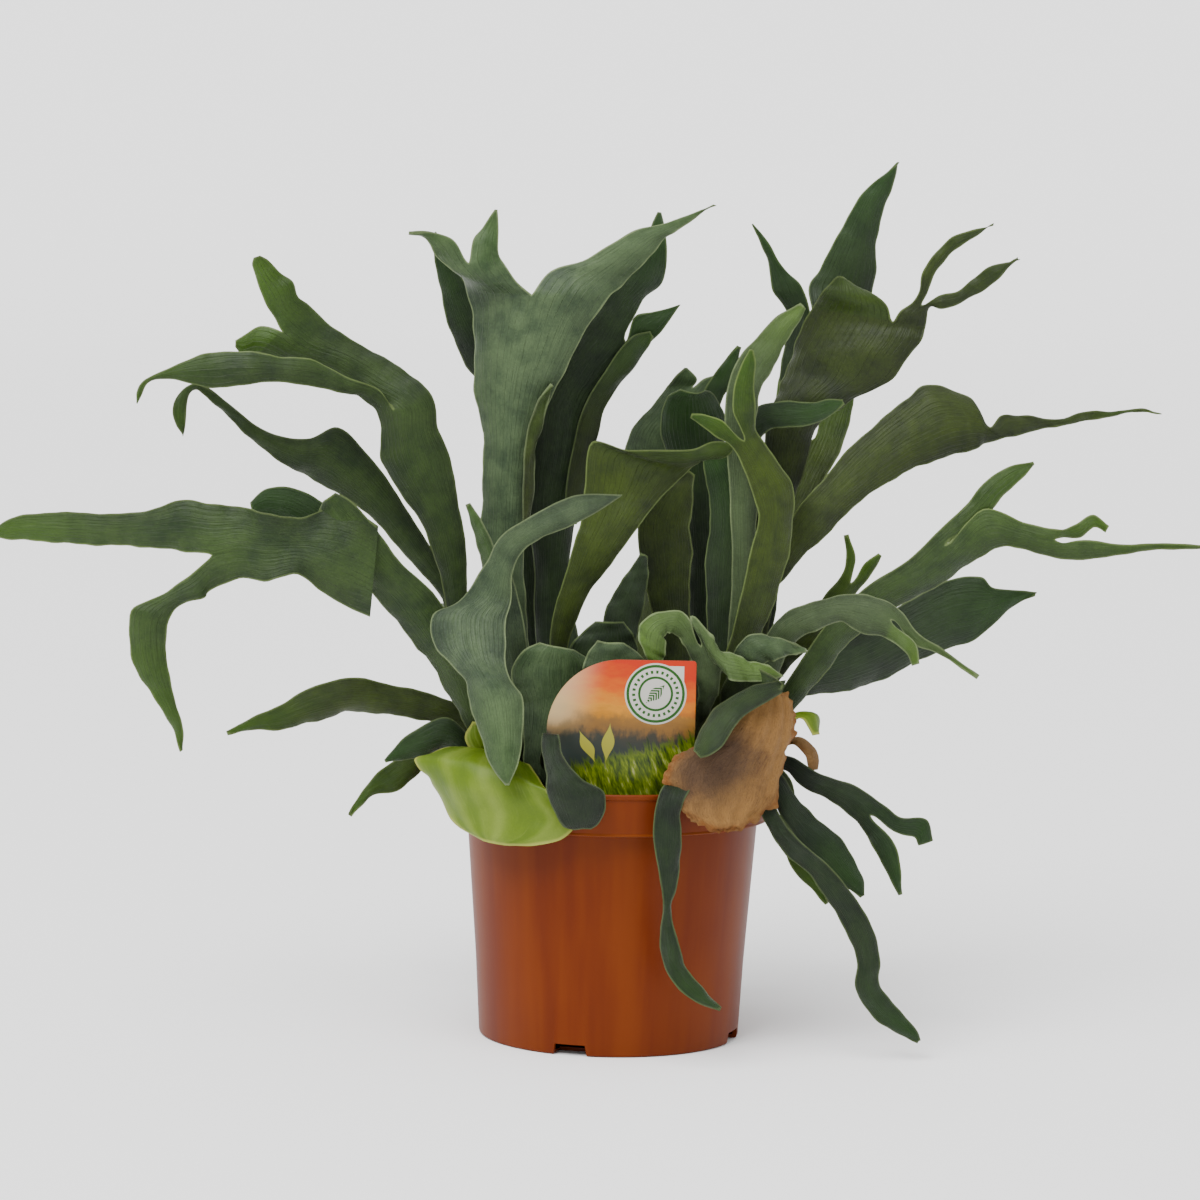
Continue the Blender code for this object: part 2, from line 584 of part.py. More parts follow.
def front_fronds():
    """Short fronds around the label and the one that hangs in front of the pot."""
    frond("frond_front_wavy_left", "front", Segment(
        [(-28, -50, 146, 4), (-38, -49, 165, 6.5), (-38, -50, 182, 10), (-35, -51, 196, 14.5),
         (-33, -52, 205, 11), (-33, -53, 210, 5)], curl=-30), GREY_GREEN)
    frond("frond_front_wavy_right", "front", Segment(
        [(-8, -53, 152, 5), (-5, -55, 180, 9), (-2, -57, 198, 13), (-1, -58, 206, 11), (0, -58, 210, 5)],
        curl=25), OLIVE_GREEN)
    frond("frond_front_dark_back", "front", Segment(
        [(-12, -42, 155, 5), (-10, -41, 185, 9), (-8, -41, 204, 14), (-8, -42, 214, 13), (-8, -43, 219, 5)],
        curl=30), DARK_GREEN)
    frond("frond_over_rim_round", "front", Segment(
        [(-34, -58, 150, 3.5), (-43, -67, 163, 4), (-43, -80, 169, 5), (-36, -92, 162, 8), (-27, -99, 149, 12),
         (-21, -101, 137, 14.5), (-18, -101, 124, 11), (-16, -100, 113, 3)],
        across=(0.94, 0.0, 0.25), curl=-20), DARK_GREEN)
    frond("frond_hanging_front", "middle", Segment(
        [(40, -34, 146, 4.5), (42, -50, 147, 4.5), (41, -66, 147, 4.5), (36, -79, 145, 5), (30, -87, 139, 6.5),
         (28, -90, 130, 7), (28, -92, 116, 7.5), (29, -93, 98, 5), (28, -93, 83, 2.0), (30, -93, 59, 5.5, -25),
         (36, -93, 47, 5), (45, -93, 38, 4), (56, -93, 31, 1)], across=(1.0, 0.25, 0.0), curl=-25), DARK_GREEN)


def right_fronds():
    """Fronds that lean to the right."""
    round_top = Segment([(116, 22, 381, 18), (118, 22, 388, 11), (119, 22, 392, 4)])
    up_tip = Segment([(155, 20, 393, 3.5), (163, 18, 410, 3), (175, 16, 418, 2.2), (187, 14, 423, 1)])
    side_tip = Segment([(165, 20, 383, 4.5), (178, 18, 391, 4.5), (190, 16, 400, 3.8), (201, 14, 406, 1)])
    right = Segment([(141, 22, 374, 8), (150, 22, 381, 6.5)], [0.0], [up_tip, side_tip])
    frond("frond_right_folded", "right", Segment(
        [(69, 8, 184, 6), (74, 14, 226, 7), (79, 18, 262, 8), (84, 20, 290, 9.5), (91, 20, 313, 12),
         (98, 20, 327, 17), (108, 20, 343, 25), (119, 20, 361, 31, 0, 20)],
        [0.3], [round_top, right], roll=-8, curl=30), OLIVE_GREEN)
    thin = Segment([(88, 52, 382, 6), (80, 52, 397, 4.5), (73, 50, 410, 3), (68, 48, 421, 1)])
    tall = Segment(
        [(115, 54, 386, 16), (119, 54, 404, 12.5), (125, 54, 424, 10), (130, 54, 437, 7.5), (137, 54, 448, 3.8),
         (142, 54, 455, 1.2)], curl=30)
    frond("frond_right_tall", "right", Segment(
        [(72, 24, 178, 5), (77, 36, 212, 6), (83, 46, 263, 7), (88, 50, 310, 8), (96, 52, 345, 12),
         (107, 53, 374, 22)], [-0.4], [thin, tall], roll=5, curl=30), DARK_GREEN)
    frond("frond_right_strap", "right", Segment(
        [(61, -16, 190, 4.5), (63, -19, 216, 5), (65, -19, 245, 6), (64, -19, 287, 7), (62, -19, 315, 7.5),
         (63, -16, 336, 8.5), (69, -12, 350, 9), (77, -8, 361, 7.5), (84, -6, 371, 5.5), (93, -4, 380, 2)],
        roll=-10, curl=30), LIGHT_GREEN)
    frond("frond_right_arching", "right", Segment(
        [(70, -6, 186, 5), (78, -6, 222, 6.5), (87, -6, 250, 8), (97, -5, 270, 9.5), (113, -3, 287, 11),
         (131, 0, 301, 14), (149, 3, 313, 16.5), (167, 6, 321, 18.5, 0, 40), (182, 8, 321, 11), (198, 10, 318, 6),
         (223, 13, 321, 3.5), (248, 16, 327, 3), (265, 18, 330, 2.5), (277, 20, 328, 1)],
        roll=-10, curl=30), OLIVE_GREEN)
    up_lobe = Segment([(182, -14, 276, 5.5), (192, -14, 288, 6), (202, -12, 296, 5), (213, -10, 302, 1)])
    hook = Segment([(236, -14, 268, 3.5), (244, -12, 273, 3), (251, -14, 269, 2)])
    trail = Segment([(241, -22, 259, 5), (260, -24, 260, 2.2), (278, -26, 262, 1.6), (299, -28, 262, 1)])
    main = Segment([(190, -18, 268, 10.5), (206, -20, 266, 6.5), (223, -22, 262, 7)], [-0.3], [hook, trail], curl=30)
    frond("frond_right_long", "right", Segment(
        [(84, -12, 170, 5), (97, -14, 188, 6.5), (115, -15, 213, 8), (135, -16, 231, 9), (155, -16, 243, 10),
         (171, -16, 256, 12)], [-0.4], [up_lobe, main], roll=-15, curl=30), GREY_GREEN)
    frond("frond_right_dark", "right", Segment(
        [(82, 2, 163, 5), (98, 12, 175, 8), (117, 20, 187, 11), (134, 24, 198, 14), (152, 28, 207, 16),
         (169, 30, 217, 17.5), (184, 32, 222, 16), (196, 32, 225, 9), (208, 32, 228, 4.5), (222, 32, 231, 1)],
        roll=10, curl=25), DARK_GREEN)
    left_tip = Segment([(121, 4, 249, 2.5), (118, 4, 262, 1)])
    right_tip = Segment([(130, 4, 245, 3), (136, 4, 252, 1)])
    frond("frond_right_forked_small", "right", Segment(
        [(73, 16, 172, 4), (88, 18, 194, 4.5), (103, 12, 211, 5), (113, 6, 227, 6), (121, 4, 237, 6)],
        [0.0], [left_tip, right_tip], curl=20), OLIVE_GREEN)
    thin_tip = Segment([(152, -50, 215, 3), (164, -50, 209, 1.8), (184, -50, 196, 1)])
    short_tip = Segment([(149, -52, 211, 3.5), (152, -53, 202, 2)])
    frond("frond_right_light", "right", Segment(
        [(74, -24, 178, 5.5), (80, -33, 204, 7), (87, -40, 217, 8), (98, -44, 224, 7.5), (113, -46, 229, 7),
         (127, -48, 227, 10), (139, -48, 223, 8.5)], [-0.1], [thin_tip, short_tip], roll=10, curl=40), LIGHT_GREEN)


def hanging_fronds():
    """Fronds that hang over the right side of the rim."""
    down = Segment([(139, -38, 107, 5), (144, -40, 95, 3.8), (148, -42, 82, 1)])
    out = Segment([(146, -34, 117, 4), (158, -32, 115, 5.5), (161, -31, 107, 4)])
    frond("frond_hanging_upper", "right", Segment(
        [(80, -20, 146, 4), (90, -26, 146, 4), (99, -30, 140, 5), (108, -32, 136, 5.5), (122, -35, 130, 7),
         (132, -36, 122, 8)], [0.0], [out, down], curl=30), DARK_GREEN)
    frond("frond_hanging_middle", "right", Segment(
        [(77, -33, 144, 4.5), (84, -41, 138, 5), (90, -45, 127, 6), (98, -49, 118, 7), (108, -52, 109, 8.5),
         (117, -54, 98, 8), (124, -55, 90, 5), (128, -55, 83, 1.2)], roll=15, curl=30), DARK_GREEN)
    frond("frond_hanging_long", "right", Segment(
        [(66, -38, 144, 4), (73, -50, 141, 4), (78, -54, 129, 4), (85, -60, 116, 4.5), (93, -67, 108, 5), (102, -70, 101, 5),
         (112, -72, 90, 6), (121, -71, 77, 6.5), (128, -70, 64, 6.5), (131, -69, 51, 5.5), (131, -68, 39, 6),
         (138, -66, 28, 6), (147, -64, 20, 5), (155, -63, 13, 3), (158, -62, 10, 1)], curl=25), DARK_GREEN)
    frond("frond_hanging_inner", "right", Segment(
        [(79, -25, 144, 4), (87, -32, 138, 4), (90, -37, 124, 4), (91, -42, 108, 4), (97, -46, 95, 4),
         (105, -48, 86, 3), (110, -50, 78, 1)], curl=20), OLIVE_GREEN)


def back_fronds():
    """Fronds behind, which fill the plant out from the other sides."""
    left = Segment([(-60, 132, 338, 8), (-66, 140, 358, 1.5)])
    right = Segment([(-38, 132, 338, 8), (-34, 140, 356, 1.5)])
    frond("frond_back_left_tall", "back", Segment(
        [(-12, 66, 160, 5), (-30, 84, 205, 8), (-42, 102, 255, 11), (-48, 118, 300, 15), (-49, 124, 318, 17)],
        [0.0], [left, right], curl=-30), GREY_GREEN)
    left = Segment([(92, 124, 320, 8), (90, 134, 344, 1.5)])
    right = Segment([(118, 124, 318, 8), (126, 132, 336, 1.5)])
    frond("frond_back_right_tall", "back", Segment(
        [(26, 66, 158, 5), (54, 82, 200, 8), (82, 98, 250, 11), (98, 112, 288, 15), (104, 116, 302, 16)],
        [0.0], [left, right], curl=-30), OLIVE_GREEN)
    left = Segment([(28, 178, 242, 8), (24, 196, 236, 1.5)])
    right = Segment([(52, 176, 238, 8), (62, 192, 226, 1.5)])
    frond("frond_back_arching", "back", Segment(
        [(8, 74, 158, 5), (14, 96, 195, 8), (24, 122, 226, 12), (34, 148, 241, 15), (38, 162, 243, 16)],
        [0.0], [left, right], across=(1.0, 0.0, 0.1), curl=25), OLIVE_GREEN)
    frond("frond_back_left_low", "centre", Segment(
        [(-34, 34, 152, 5), (-58, 64, 176, 8), (-78, 94, 198, 12), (-94, 122, 208, 12), (-106, 148, 204, 7),
         (-112, 164, 196, 1.5)], across=(0.75, 0.6, 0.1), curl=25), GREY_GREEN)
    frond("frond_back_hanging_right", "back", Segment(
        [(26, 72, 146, 5), (36, 90, 148, 7), (45, 106, 136, 9), (50, 113, 112, 10), (53, 113, 84, 8),
         (54, 109, 58, 1.5)], across=(1.0, -0.35, 0.0), curl=-25), OLIVE_GREEN)


def shields():
    """The shield leaves that clasp the crowns and lie over the rim."""
    frond("shield_green_front", "left", Segment(
        [(-61, -40, 148, 14, 0, -10), (-64, -57, 156, 28, 0, -20), (-66, -72, 152, 42, 0, -35),
         (-67, -80, 139, 46, 0, -40), (-67, -82, 125, 40, 0, -35), (-66, -80, 114, 18, 0, -15)],
        across=(0.87, -0.46, -0.10)), SHIELD_GREEN, 6.0, SHIELD_THICKNESS)
    frond("shield_brown_front", "right", Segment(
        [(69, -31, 159, 8, 0, -10), (75, -45, 179, 16, 0, -25), (81, -57, 182, 20, 0, -40),
         (82, -69, 170, 27, 0, -45), (76, -79, 154, 38, 0, -42), (71, -84, 139, 43, 0, -40),
         (67, -85, 128, 34, 0, -35), (65, -83, 120, 16, 0, -20)],
        across=(0.817, 0.577, 0.0)), SHIELD_BROWN, 4.0, SHIELD_THICKNESS)
    frond("shield_green_side", "right", Segment(
        [(80, -21, 159, 5), (92, -28, 173, 8.5), (102, -32, 173, 8.5), (105, -34, 163, 5)],
        across=(0.4, 0.9, 0.0), curl=-30), SHIELD_GREEN, 3.5, SHIELD_THICKNESS)
    frond("shield_brown_side", "right", Segment(
        [(82, -6, 151, 6), (95, -11, 158, 9), (104, -15, 151, 9), (105, -16, 142, 5)],
        across=(0.35, 0.94, 0.0), curl=-30), SHIELD_BROWN, 3.5, SHIELD_THICKNESS)
    frond("shield_yellow_small", "left", Segment(
        [(-68, -30, 152, 5), (-71, -31, 159, 5.5), (-71, -32, 166, 1.5)], curl=20), SHIELD_GREEN, 3.0)
    frond("shield_green_back", "back", Segment(
        [(-4, 74, 147, 14, 0, -20), (-8, 86, 149, 26, 0, -30), (-10, 95, 138, 32, 0, -40),
         (-10, 98, 124, 30, 0, -38), (-10, 97, 113, 15, 0, -20)],
        across=(-1.0, 0.0, 0.0)), SHIELD_GREEN, 6.0, SHIELD_THICKNESS)


def main():
    """Clear the scene and build every piece."""
    for item in list(bpy.data.objects):
        bpy.data.objects.remove(item)
    build_pot()
    build_mix()
    build_label()
    build_crowns()
    shields()
    left_fronds()
    centre_fronds()
    middle_fronds()
    front_fronds()
    right_fronds()
    hanging_fronds()
    back_fronds()


main()
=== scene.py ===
"""A potted staghorn fern: the finished fronds, shield leaves, crowns, potting mix, label and pot."""
from __future__ import annotations

import logging
import math
from dataclasses import dataclass, field
from enum import Enum
from typing import ClassVar, Optional, Sequence

import bpy
import bmesh
import numpy as np
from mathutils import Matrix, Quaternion, Vector, kdtree, noise


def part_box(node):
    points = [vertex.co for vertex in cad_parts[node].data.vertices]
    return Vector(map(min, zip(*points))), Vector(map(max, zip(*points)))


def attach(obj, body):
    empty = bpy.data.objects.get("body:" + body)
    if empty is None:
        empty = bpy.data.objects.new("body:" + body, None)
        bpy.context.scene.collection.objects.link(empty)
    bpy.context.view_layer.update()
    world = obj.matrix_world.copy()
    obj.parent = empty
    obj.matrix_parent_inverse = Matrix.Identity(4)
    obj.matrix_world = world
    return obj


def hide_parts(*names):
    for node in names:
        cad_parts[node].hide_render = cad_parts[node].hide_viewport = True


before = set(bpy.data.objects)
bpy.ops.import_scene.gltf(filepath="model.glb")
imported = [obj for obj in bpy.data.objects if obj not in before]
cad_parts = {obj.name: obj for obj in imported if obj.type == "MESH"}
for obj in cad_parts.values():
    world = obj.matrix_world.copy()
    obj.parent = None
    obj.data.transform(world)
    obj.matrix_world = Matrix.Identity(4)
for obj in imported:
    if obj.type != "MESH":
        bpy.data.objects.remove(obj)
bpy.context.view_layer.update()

MM = 0.001
VIEW = np.array([0.0, 1.0, 0.0])
GOLDEN_ANGLE = 2.39996
DULLEST = 0.0005
Colour = tuple[float, float, float]
log = logging.getLogger("staghorn_fern")


def linear(red: int, green: int, blue: int) -> Colour:
    """A display colour of 0 to 255 as the linear colour that shaders take.

    Args:
        red: red part.
        green: green part.
        blue: blue part.

    Returns:
        The linear red, green and blue.
    """
    parts = []
    for part in (red, green, blue):
        level = part / 255.0
        parts.append(level / 12.92 if level <= 0.04045 else ((level + 0.055) / 1.055) ** 2.4)
    return parts[0], parts[1], parts[2]


def pigment(red: int, green: int, blue: int, depth: float = 0.42, strength: float = 1.42) -> Colour:
    """The colour of a surface that looks like a display colour under the studio's bright light.

    Args:
        red: red part of the look, 0 to 255.
        green: green part.
        blue: blue part.
        depth: how much darker the surface is than its look.
        strength: how much stronger its hue is.

    Returns:
        The linear colour.
    """
    parts = linear(red, green, blue)
    grey = 0.2126 * parts[0] + 0.7152 * parts[1] + 0.0722 * parts[2]
    mixed = [max(grey + (part - grey) * strength, DULLEST) * depth for part in parts]
    return mixed[0], mixed[1], mixed[2]


class Wire:
    """One output socket of a shader. Reckoning with it adds maths nodes."""

    def __init__(self, shader: Shader, socket: bpy.types.NodeSocket) -> None:
        """Wrap a socket of a shader."""
        self.shader = shader
        self.socket = socket

    def __add__(self, other: Wire | float) -> Wire:
        """The sum of two values."""
        return self.shader.math("ADD", self, other)

    __radd__ = __add__

    def __sub__(self, other: Wire | float) -> Wire:
        """This value less another."""
        return self.shader.math("SUBTRACT", self, other)

    def __rsub__(self, other: Wire | float) -> Wire:
        """Another value less this one."""
        return self.shader.math("SUBTRACT", other, self)

    def __mul__(self, other: Wire | float) -> Wire:
        """The product of two values."""
        return self.shader.math("MULTIPLY", self, other)

    __rmul__ = __mul__

    def __truediv__(self, other: Wire | float) -> Wire:
        """This value over another."""
        return self.shader.math("DIVIDE", self, other)


class Shader:
    """A material and the nodes that it is drawn with."""

    def __init__(self, name: str) -> None:
        """Start a material with its Principled shader and output.

        Args:
            name: the material's name.
        """
        self.material = bpy.data.materials.new(name)
        self.material.use_nodes = True
        self.tree = self.material.node_tree
        self.tree.nodes.clear()
        output = self.tree.nodes.new("ShaderNodeOutputMaterial")
        self.body = self.tree.nodes.new("ShaderNodeBsdfPrincipled")
        self.tree.links.new(self.body.outputs["BSDF"], output.inputs["Surface"])

    def node(self, kind: str, settings: dict | None = None, sockets: dict | None = None) -> bpy.types.Node:
        """Add any node.

        Args:
            kind: the node's type.
            settings: its own settings, and under "stops" the places and colours of a ramp.
            sockets: the values or wires of its input sockets, by name or number.

        Returns:
            The node.
        """
        made = self.tree.nodes.new(kind)
        for key, value in (settings or {}).items():
            if key == "stops":
                self.stops(made, value)
            else:
                setattr(made, key, value)
        for key, value in (sockets or {}).items():
            self.feed(made.inputs[key], value)
        return made

    def stops(self, ramp: bpy.types.Node, stops: Sequence[tuple[float, Colour]]) -> None:
        """Give a ramp its places and colours.

        Args:
            ramp: the ramp's node.
            stops: its places, from 0 to 1, with their colours.
        """
        elements = ramp.color_ramp.elements
        while len(elements) < len(stops):
            elements.new(1.0)
        for element, (place, colour) in zip(elements, stops):
            element.position = place
            element.color = (*colour, 1.0)

    def feed(self, socket: bpy.types.NodeSocket, value: Wire | float | Colour) -> None:
        """Link a wire to a socket, or set the socket's own value.

        Args:
            socket: the input socket.
            value: the wire, number or colour.
        """
        if isinstance(value, Wire):
            self.tree.links.new(value.socket, socket)
        elif isinstance(value, tuple) and len(value) == 3 and socket.type == "RGBA":
            socket.default_value = (*value, 1.0)
        else:
            socket.default_value = value

    def wire(self, kind: str, settings: dict | None = None, sockets: dict | None = None, output: int | str = 0) -> Wire:
        """One output of a new node."""
        return Wire(self, self.node(kind, settings, sockets).outputs[output])

    def math(self, operation: str, *values: Wire | float) -> Wire:
        """One Math node."""
        return self.wire("ShaderNodeMath", {"operation": operation}, dict(enumerate(values)))

    def mix(self, factor: Wire | float, first: Wire | Colour, second: Wire | Colour) -> Wire:
        """A blend of two colours."""
        return self.wire("ShaderNodeMix", {"data_type": "RGBA"}, {0: factor, 6: first, 7: second}, 2)

    def place(self) -> Wire:
        """Object coordinates, in metres."""
        return self.wire("ShaderNodeTexCoord", output="Object")

    def parts(self, vector: Wire) -> tuple[Wire, Wire, Wire]:
        """The three parts of a vector."""
        x, y, z = self.node("ShaderNodeSeparateXYZ", None, {0: vector}).outputs
        return Wire(self, x), Wire(self, y), Wire(self, z)

    def join(self, x: Wire | float, y: Wire | float, z: Wire | float = 0.0) -> Wire:
        """A vector from three values."""
        return self.wire("ShaderNodeCombineXYZ", None, {0: x, 1: y, 2: z})

    def attribute(self, name: str) -> Wire:
        """A number stored on the mesh."""
        return self.wire(
            "ShaderNodeAttribute", {"attribute_type": "GEOMETRY", "attribute_name": name}, output="Fac")

    def noise(self, vector: Wire, scale: float, detail: float = 2.0, roughness: float = 0.5) -> Wire:
        """Smooth noise from 0 to 1."""
        sockets = {"Vector": vector, "Scale": scale, "Detail": detail, "Roughness": roughness}
        return self.wire("ShaderNodeTexNoise", {"noise_dimensions": "3D"}, sockets)

    def step(self, value: Wire, low: float, high: float, start: float = 0.0, end: float = 1.0) -> Wire:
        """A smooth step of a value from one level to another."""
        sockets = {0: value, 1: low, 2: high, 3: start, 4: end}
        return self.wire("ShaderNodeMapRange", {"interpolation_type": "SMOOTHSTEP"}, sockets)

    def ramp(self, value: Wire, stops: Sequence[tuple[float, Colour]]) -> Wire:
        """A colour read off a ramp."""
        return self.wire("ShaderNodeValToRGB", {"stops": stops}, {0: value})

    def shade(self, colour: Wire, level: Wire) -> Wire:
        """A colour made lighter or darker."""
        return self.wire("ShaderNodeHueSaturation", None, {"Value": level, "Color": colour})

    def bump(self, height: Wire, depth: float, strength: float = 1.0) -> None:
        """Raise the surface by a height that runs from 0 to 1.

        Args:
            height: the height.
            depth: what a height of 1 stands for, in metres.
            strength: how much of it shows.
        """
        sockets = {"Height": height, "Distance": depth, "Strength": strength}
        self.feed(self.body.inputs["Normal"], self.wire("ShaderNodeBump", None, sockets))

    def finish(self, **sockets: Wire | float | Colour) -> bpy.types.Material:
        """Feed the Principled shader's sockets.

        Args:
            sockets: values or wires by the sockets' names in lower case, with _ for a space.

        Returns:
            The material.
        """
        for key, value in sockets.items():
            self.feed(self.body.inputs[key.replace("_", " ").title().replace("Ior", "IOR")], value)
        return self.material


class Finish:
    """What all finishes share: a slot, and a material that is drawn once and then used again."""

    slot: str
    ending: ClassVar[str] = "_leaf"

    def title(self) -> str:
        """The material's name."""
        return self.slot + self.ending

    def material(self) -> bpy.types.Material:
        """The finish's material, drawn if there is none yet."""
        return bpy.data.materials.get(self.title()) or self.draw(Shader(self.title()))

    def draw(self, shader: Shader) -> bpy.types.Material:
        """Draw the finish.

        Args:
            shader: the empty material.

        Returns:
            The material.
        """
        raise NotImplementedError


@dataclass(frozen=True)
class FrondFinish(Finish):
    """Leathery frond: veins that fan out, a felt bloom, a pale margin and a fresher tip."""

    name: str
    slot: str
    front: Colour
    front_deep: Colour
    back: Colour
    back_deep: Colour
    tip: Colour
    margin: Colour = pigment(166, 180, 142)
    vein: Colour = pigment(118, 134, 104)
    roughness: float = 0.43
    bloom: float = 0.5
    veins: float = 17.0

    def title(self) -> str:
        """The material's name."""
        return self.name

    def draw(self, shader: Shader) -> bpy.types.Material:
        """Draw the veins, the felt, the margin, the fresh tip, painted shade towards the margins and the stalk, and a
        painted highlight down the middle.

        Args:
            shader: the empty material.

        Returns:
            The material.
        """
        place = shader.place()
        across = shader.attribute("across")
        along = shader.attribute("along")
        under = shader.attribute("under")
        patches = shader.noise(place, 21.0, 3.0)
        mottle = shader.noise(place, 95.0, 3.0, 0.6)
        felt = shader.noise(place, 1000.0, 3.0, 0.75)
        strands = shader.noise(shader.join(across * 34.0, along * 5.0, under * 3.0), 1.0, 2.0, 0.6)
        hairlines = shader.noise(shader.join(across * 150.0, along * 4.0, under * 5.0), 1.0, 1.0)
        phase = shader.math("ABSOLUTE", shader.math("SINE", across * (math.pi * self.veins) + mottle * 1.4))
        lines = shader.step(phase, 0.0, 0.24, 1.0, 0.0) * shader.step(strands, 0.3, 0.6)
        blotch = shader.step(patches * 0.5 + mottle * 0.5, 0.27, 0.66)
        front = shader.mix(blotch, self.front_deep, self.front)
        front = shader.mix(shader.step(strands, 0.5, 0.78) * 0.16, front, self.vein)
        front = shader.mix(shader.step(hairlines, 0.52, 0.8) * 0.14, front, self.vein)
        front = shader.mix(lines * 0.22, front, self.vein)
        back = shader.mix(blotch, self.back_deep, self.back)
        back = shader.mix(lines * 0.2, back, self.vein)
        back = shader.mix(shader.step(hairlines, 0.5, 0.85) * 0.18, back, self.front)
        body = shader.mix(under, front, back)
        fresh = shader.attribute("fresh")
        body = shader.mix(fresh, body, self.tip)
        bloom = shader.step(felt * 0.6 + mottle * 0.4, 0.42, 0.72) * (0.24 * self.bloom)
        body = shader.mix(bloom, body, self.vein)
        rim = shader.step(shader.attribute("edge"), 0.25, 1.15, 1.0, 0.0)
        body = shader.mix(rim * 0.72, body, self.margin)
        # Painted highlight and shade: lighter down the middle of the blade, darker towards both margins.
        sides = shader.step(shader.math("ABSOLUTE", across - 0.5), 0.08, 0.5, 0.08, -0.14)
        # Painted shade: darker towards the stalk.
        foot = shader.step(along, 0.1, 0.7, -0.18, 0.0)
        level = shader.attribute("tone") + (0.66 + felt * 0.68) + sides + foot
        body = shader.shade(body, level)
        shader.bump(strands * 0.5 + hairlines * 0.22 + lines * 0.3 + felt * 0.16 + mottle * 0.6, 0.0011, 0.85)
        gloss = self.roughness + felt * 0.16 - 0.08 + under * 0.08 - fresh * 0.12
        return shader.finish(
            base_color=body, roughness=gloss, sheen_weight=0.05, sheen_roughness=0.5, specular_ior_level=0.2)


class Look(Enum):
    """The frond finishes."""

    GREY = FrondFinish(
        "grey_felted_leaf", "fern_grey_green", pigment(101, 117, 90), pigment(52, 67, 50), pigment(82, 92, 52),
        pigment(50, 60, 32), pigment(98, 132, 62), bloom=0.9)
    MOSS = FrondFinish(
        "moss_green_leaf", "fern_grey_green", pigment(78, 98, 58), pigment(42, 60, 34), pigment(72, 84, 46),
        pigment(44, 54, 28), pigment(96, 126, 52), pigment(154, 170, 122), pigment(104, 120, 84), bloom=0.5)
    DARK = FrondFinish(
        "dark_leaf", "fern_dark_green", pigment(52, 68, 42), pigment(26, 37, 24), pigment(68, 80, 44),
        pigment(38, 48, 25), pigment(62, 98, 40), pigment(138, 154, 112), pigment(78, 94, 68),
        roughness=0.42, bloom=0.35)
    OLIVE = FrondFinish(
        "olive_leaf", "fern_olive_green", pigment(76, 90, 46), pigment(38, 49, 23), pigment(60, 76, 48),
        pigment(32, 45, 28), pigment(88, 124, 34), pigment(150, 166, 116), pigment(94, 108, 68), bloom=0.45)
    LIGHT = FrondFinish(
        "light_leaf", "fern_light_green", pigment(98, 116, 80, 0.4, 1.2), pigment(68, 84, 56, 0.4, 1.2),
        pigment(90, 102, 64, 0.4, 1.2), pigment(62, 74, 46, 0.4, 1.2), pigment(128, 160, 70), bloom=0.8)


@dataclass(frozen=True)
class GreenShieldFinish(Finish):
    """Fresh shield leaf: yellow-green, with broad ribs and a yellow margin."""

    slot: str = "fern_shield_green"
    light: Colour = pigment(164, 182, 108, 0.44, 1.3)
    middle: Colour = pigment(124, 148, 70, 0.42, 1.3)
    deep: Colour = pigment(92, 116, 48, 0.42, 1.3)
    margin: Colour = pigment(205, 208, 130, 0.45, 1.3)

    def draw(self, shader: Shader) -> bpy.types.Material:
        """Draw the ribs, whose lighter and darker bands are partly painted shade of the folds and partly mottling, the
        threads and the yellow margin.

        Args:
            shader: the empty material.

        Returns:
            The material.
        """
        place = shader.place()
        across = shader.attribute("across")
        along = shader.attribute("along")
        ribs = shader.noise(shader.join(across * 7.0, along * 1.2, 0.0), 1.0, 0.5)
        threads = shader.noise(shader.join(across * 60.0, along * 9.0, 0.0), 1.0, 2.0)
        grain = shader.noise(place, 900.0, 2.0, 0.6)
        cloud = shader.noise(place, 42.0, 3.0)
        # The light and deep bands along the ribs are painted shade of the folds, mixed with the leaf's own mottling
        # from the cloud.
        level = ribs * 0.62 + cloud * 0.38
        body = shader.ramp(level, [(0.28, self.deep), (0.5, self.middle), (0.7, self.light)])
        body = shader.mix(shader.step(threads, 0.5, 0.8) * 0.25, body, self.light)
        rim = shader.step(shader.attribute("edge"), 0.5, 2.0, 1.0, 0.0)
        body = shader.mix(rim * 0.75, body, self.margin)
        body = shader.shade(body, shader.attribute("tone") + (0.86 + grain * 0.28))
        shader.bump(ribs * 0.4 + threads * 0.12 + grain * 0.08, 0.0014, 0.6)
        return shader.finish(
            base_color=body, roughness=0.42 + grain * 0.16, specular_ior_level=0.25)


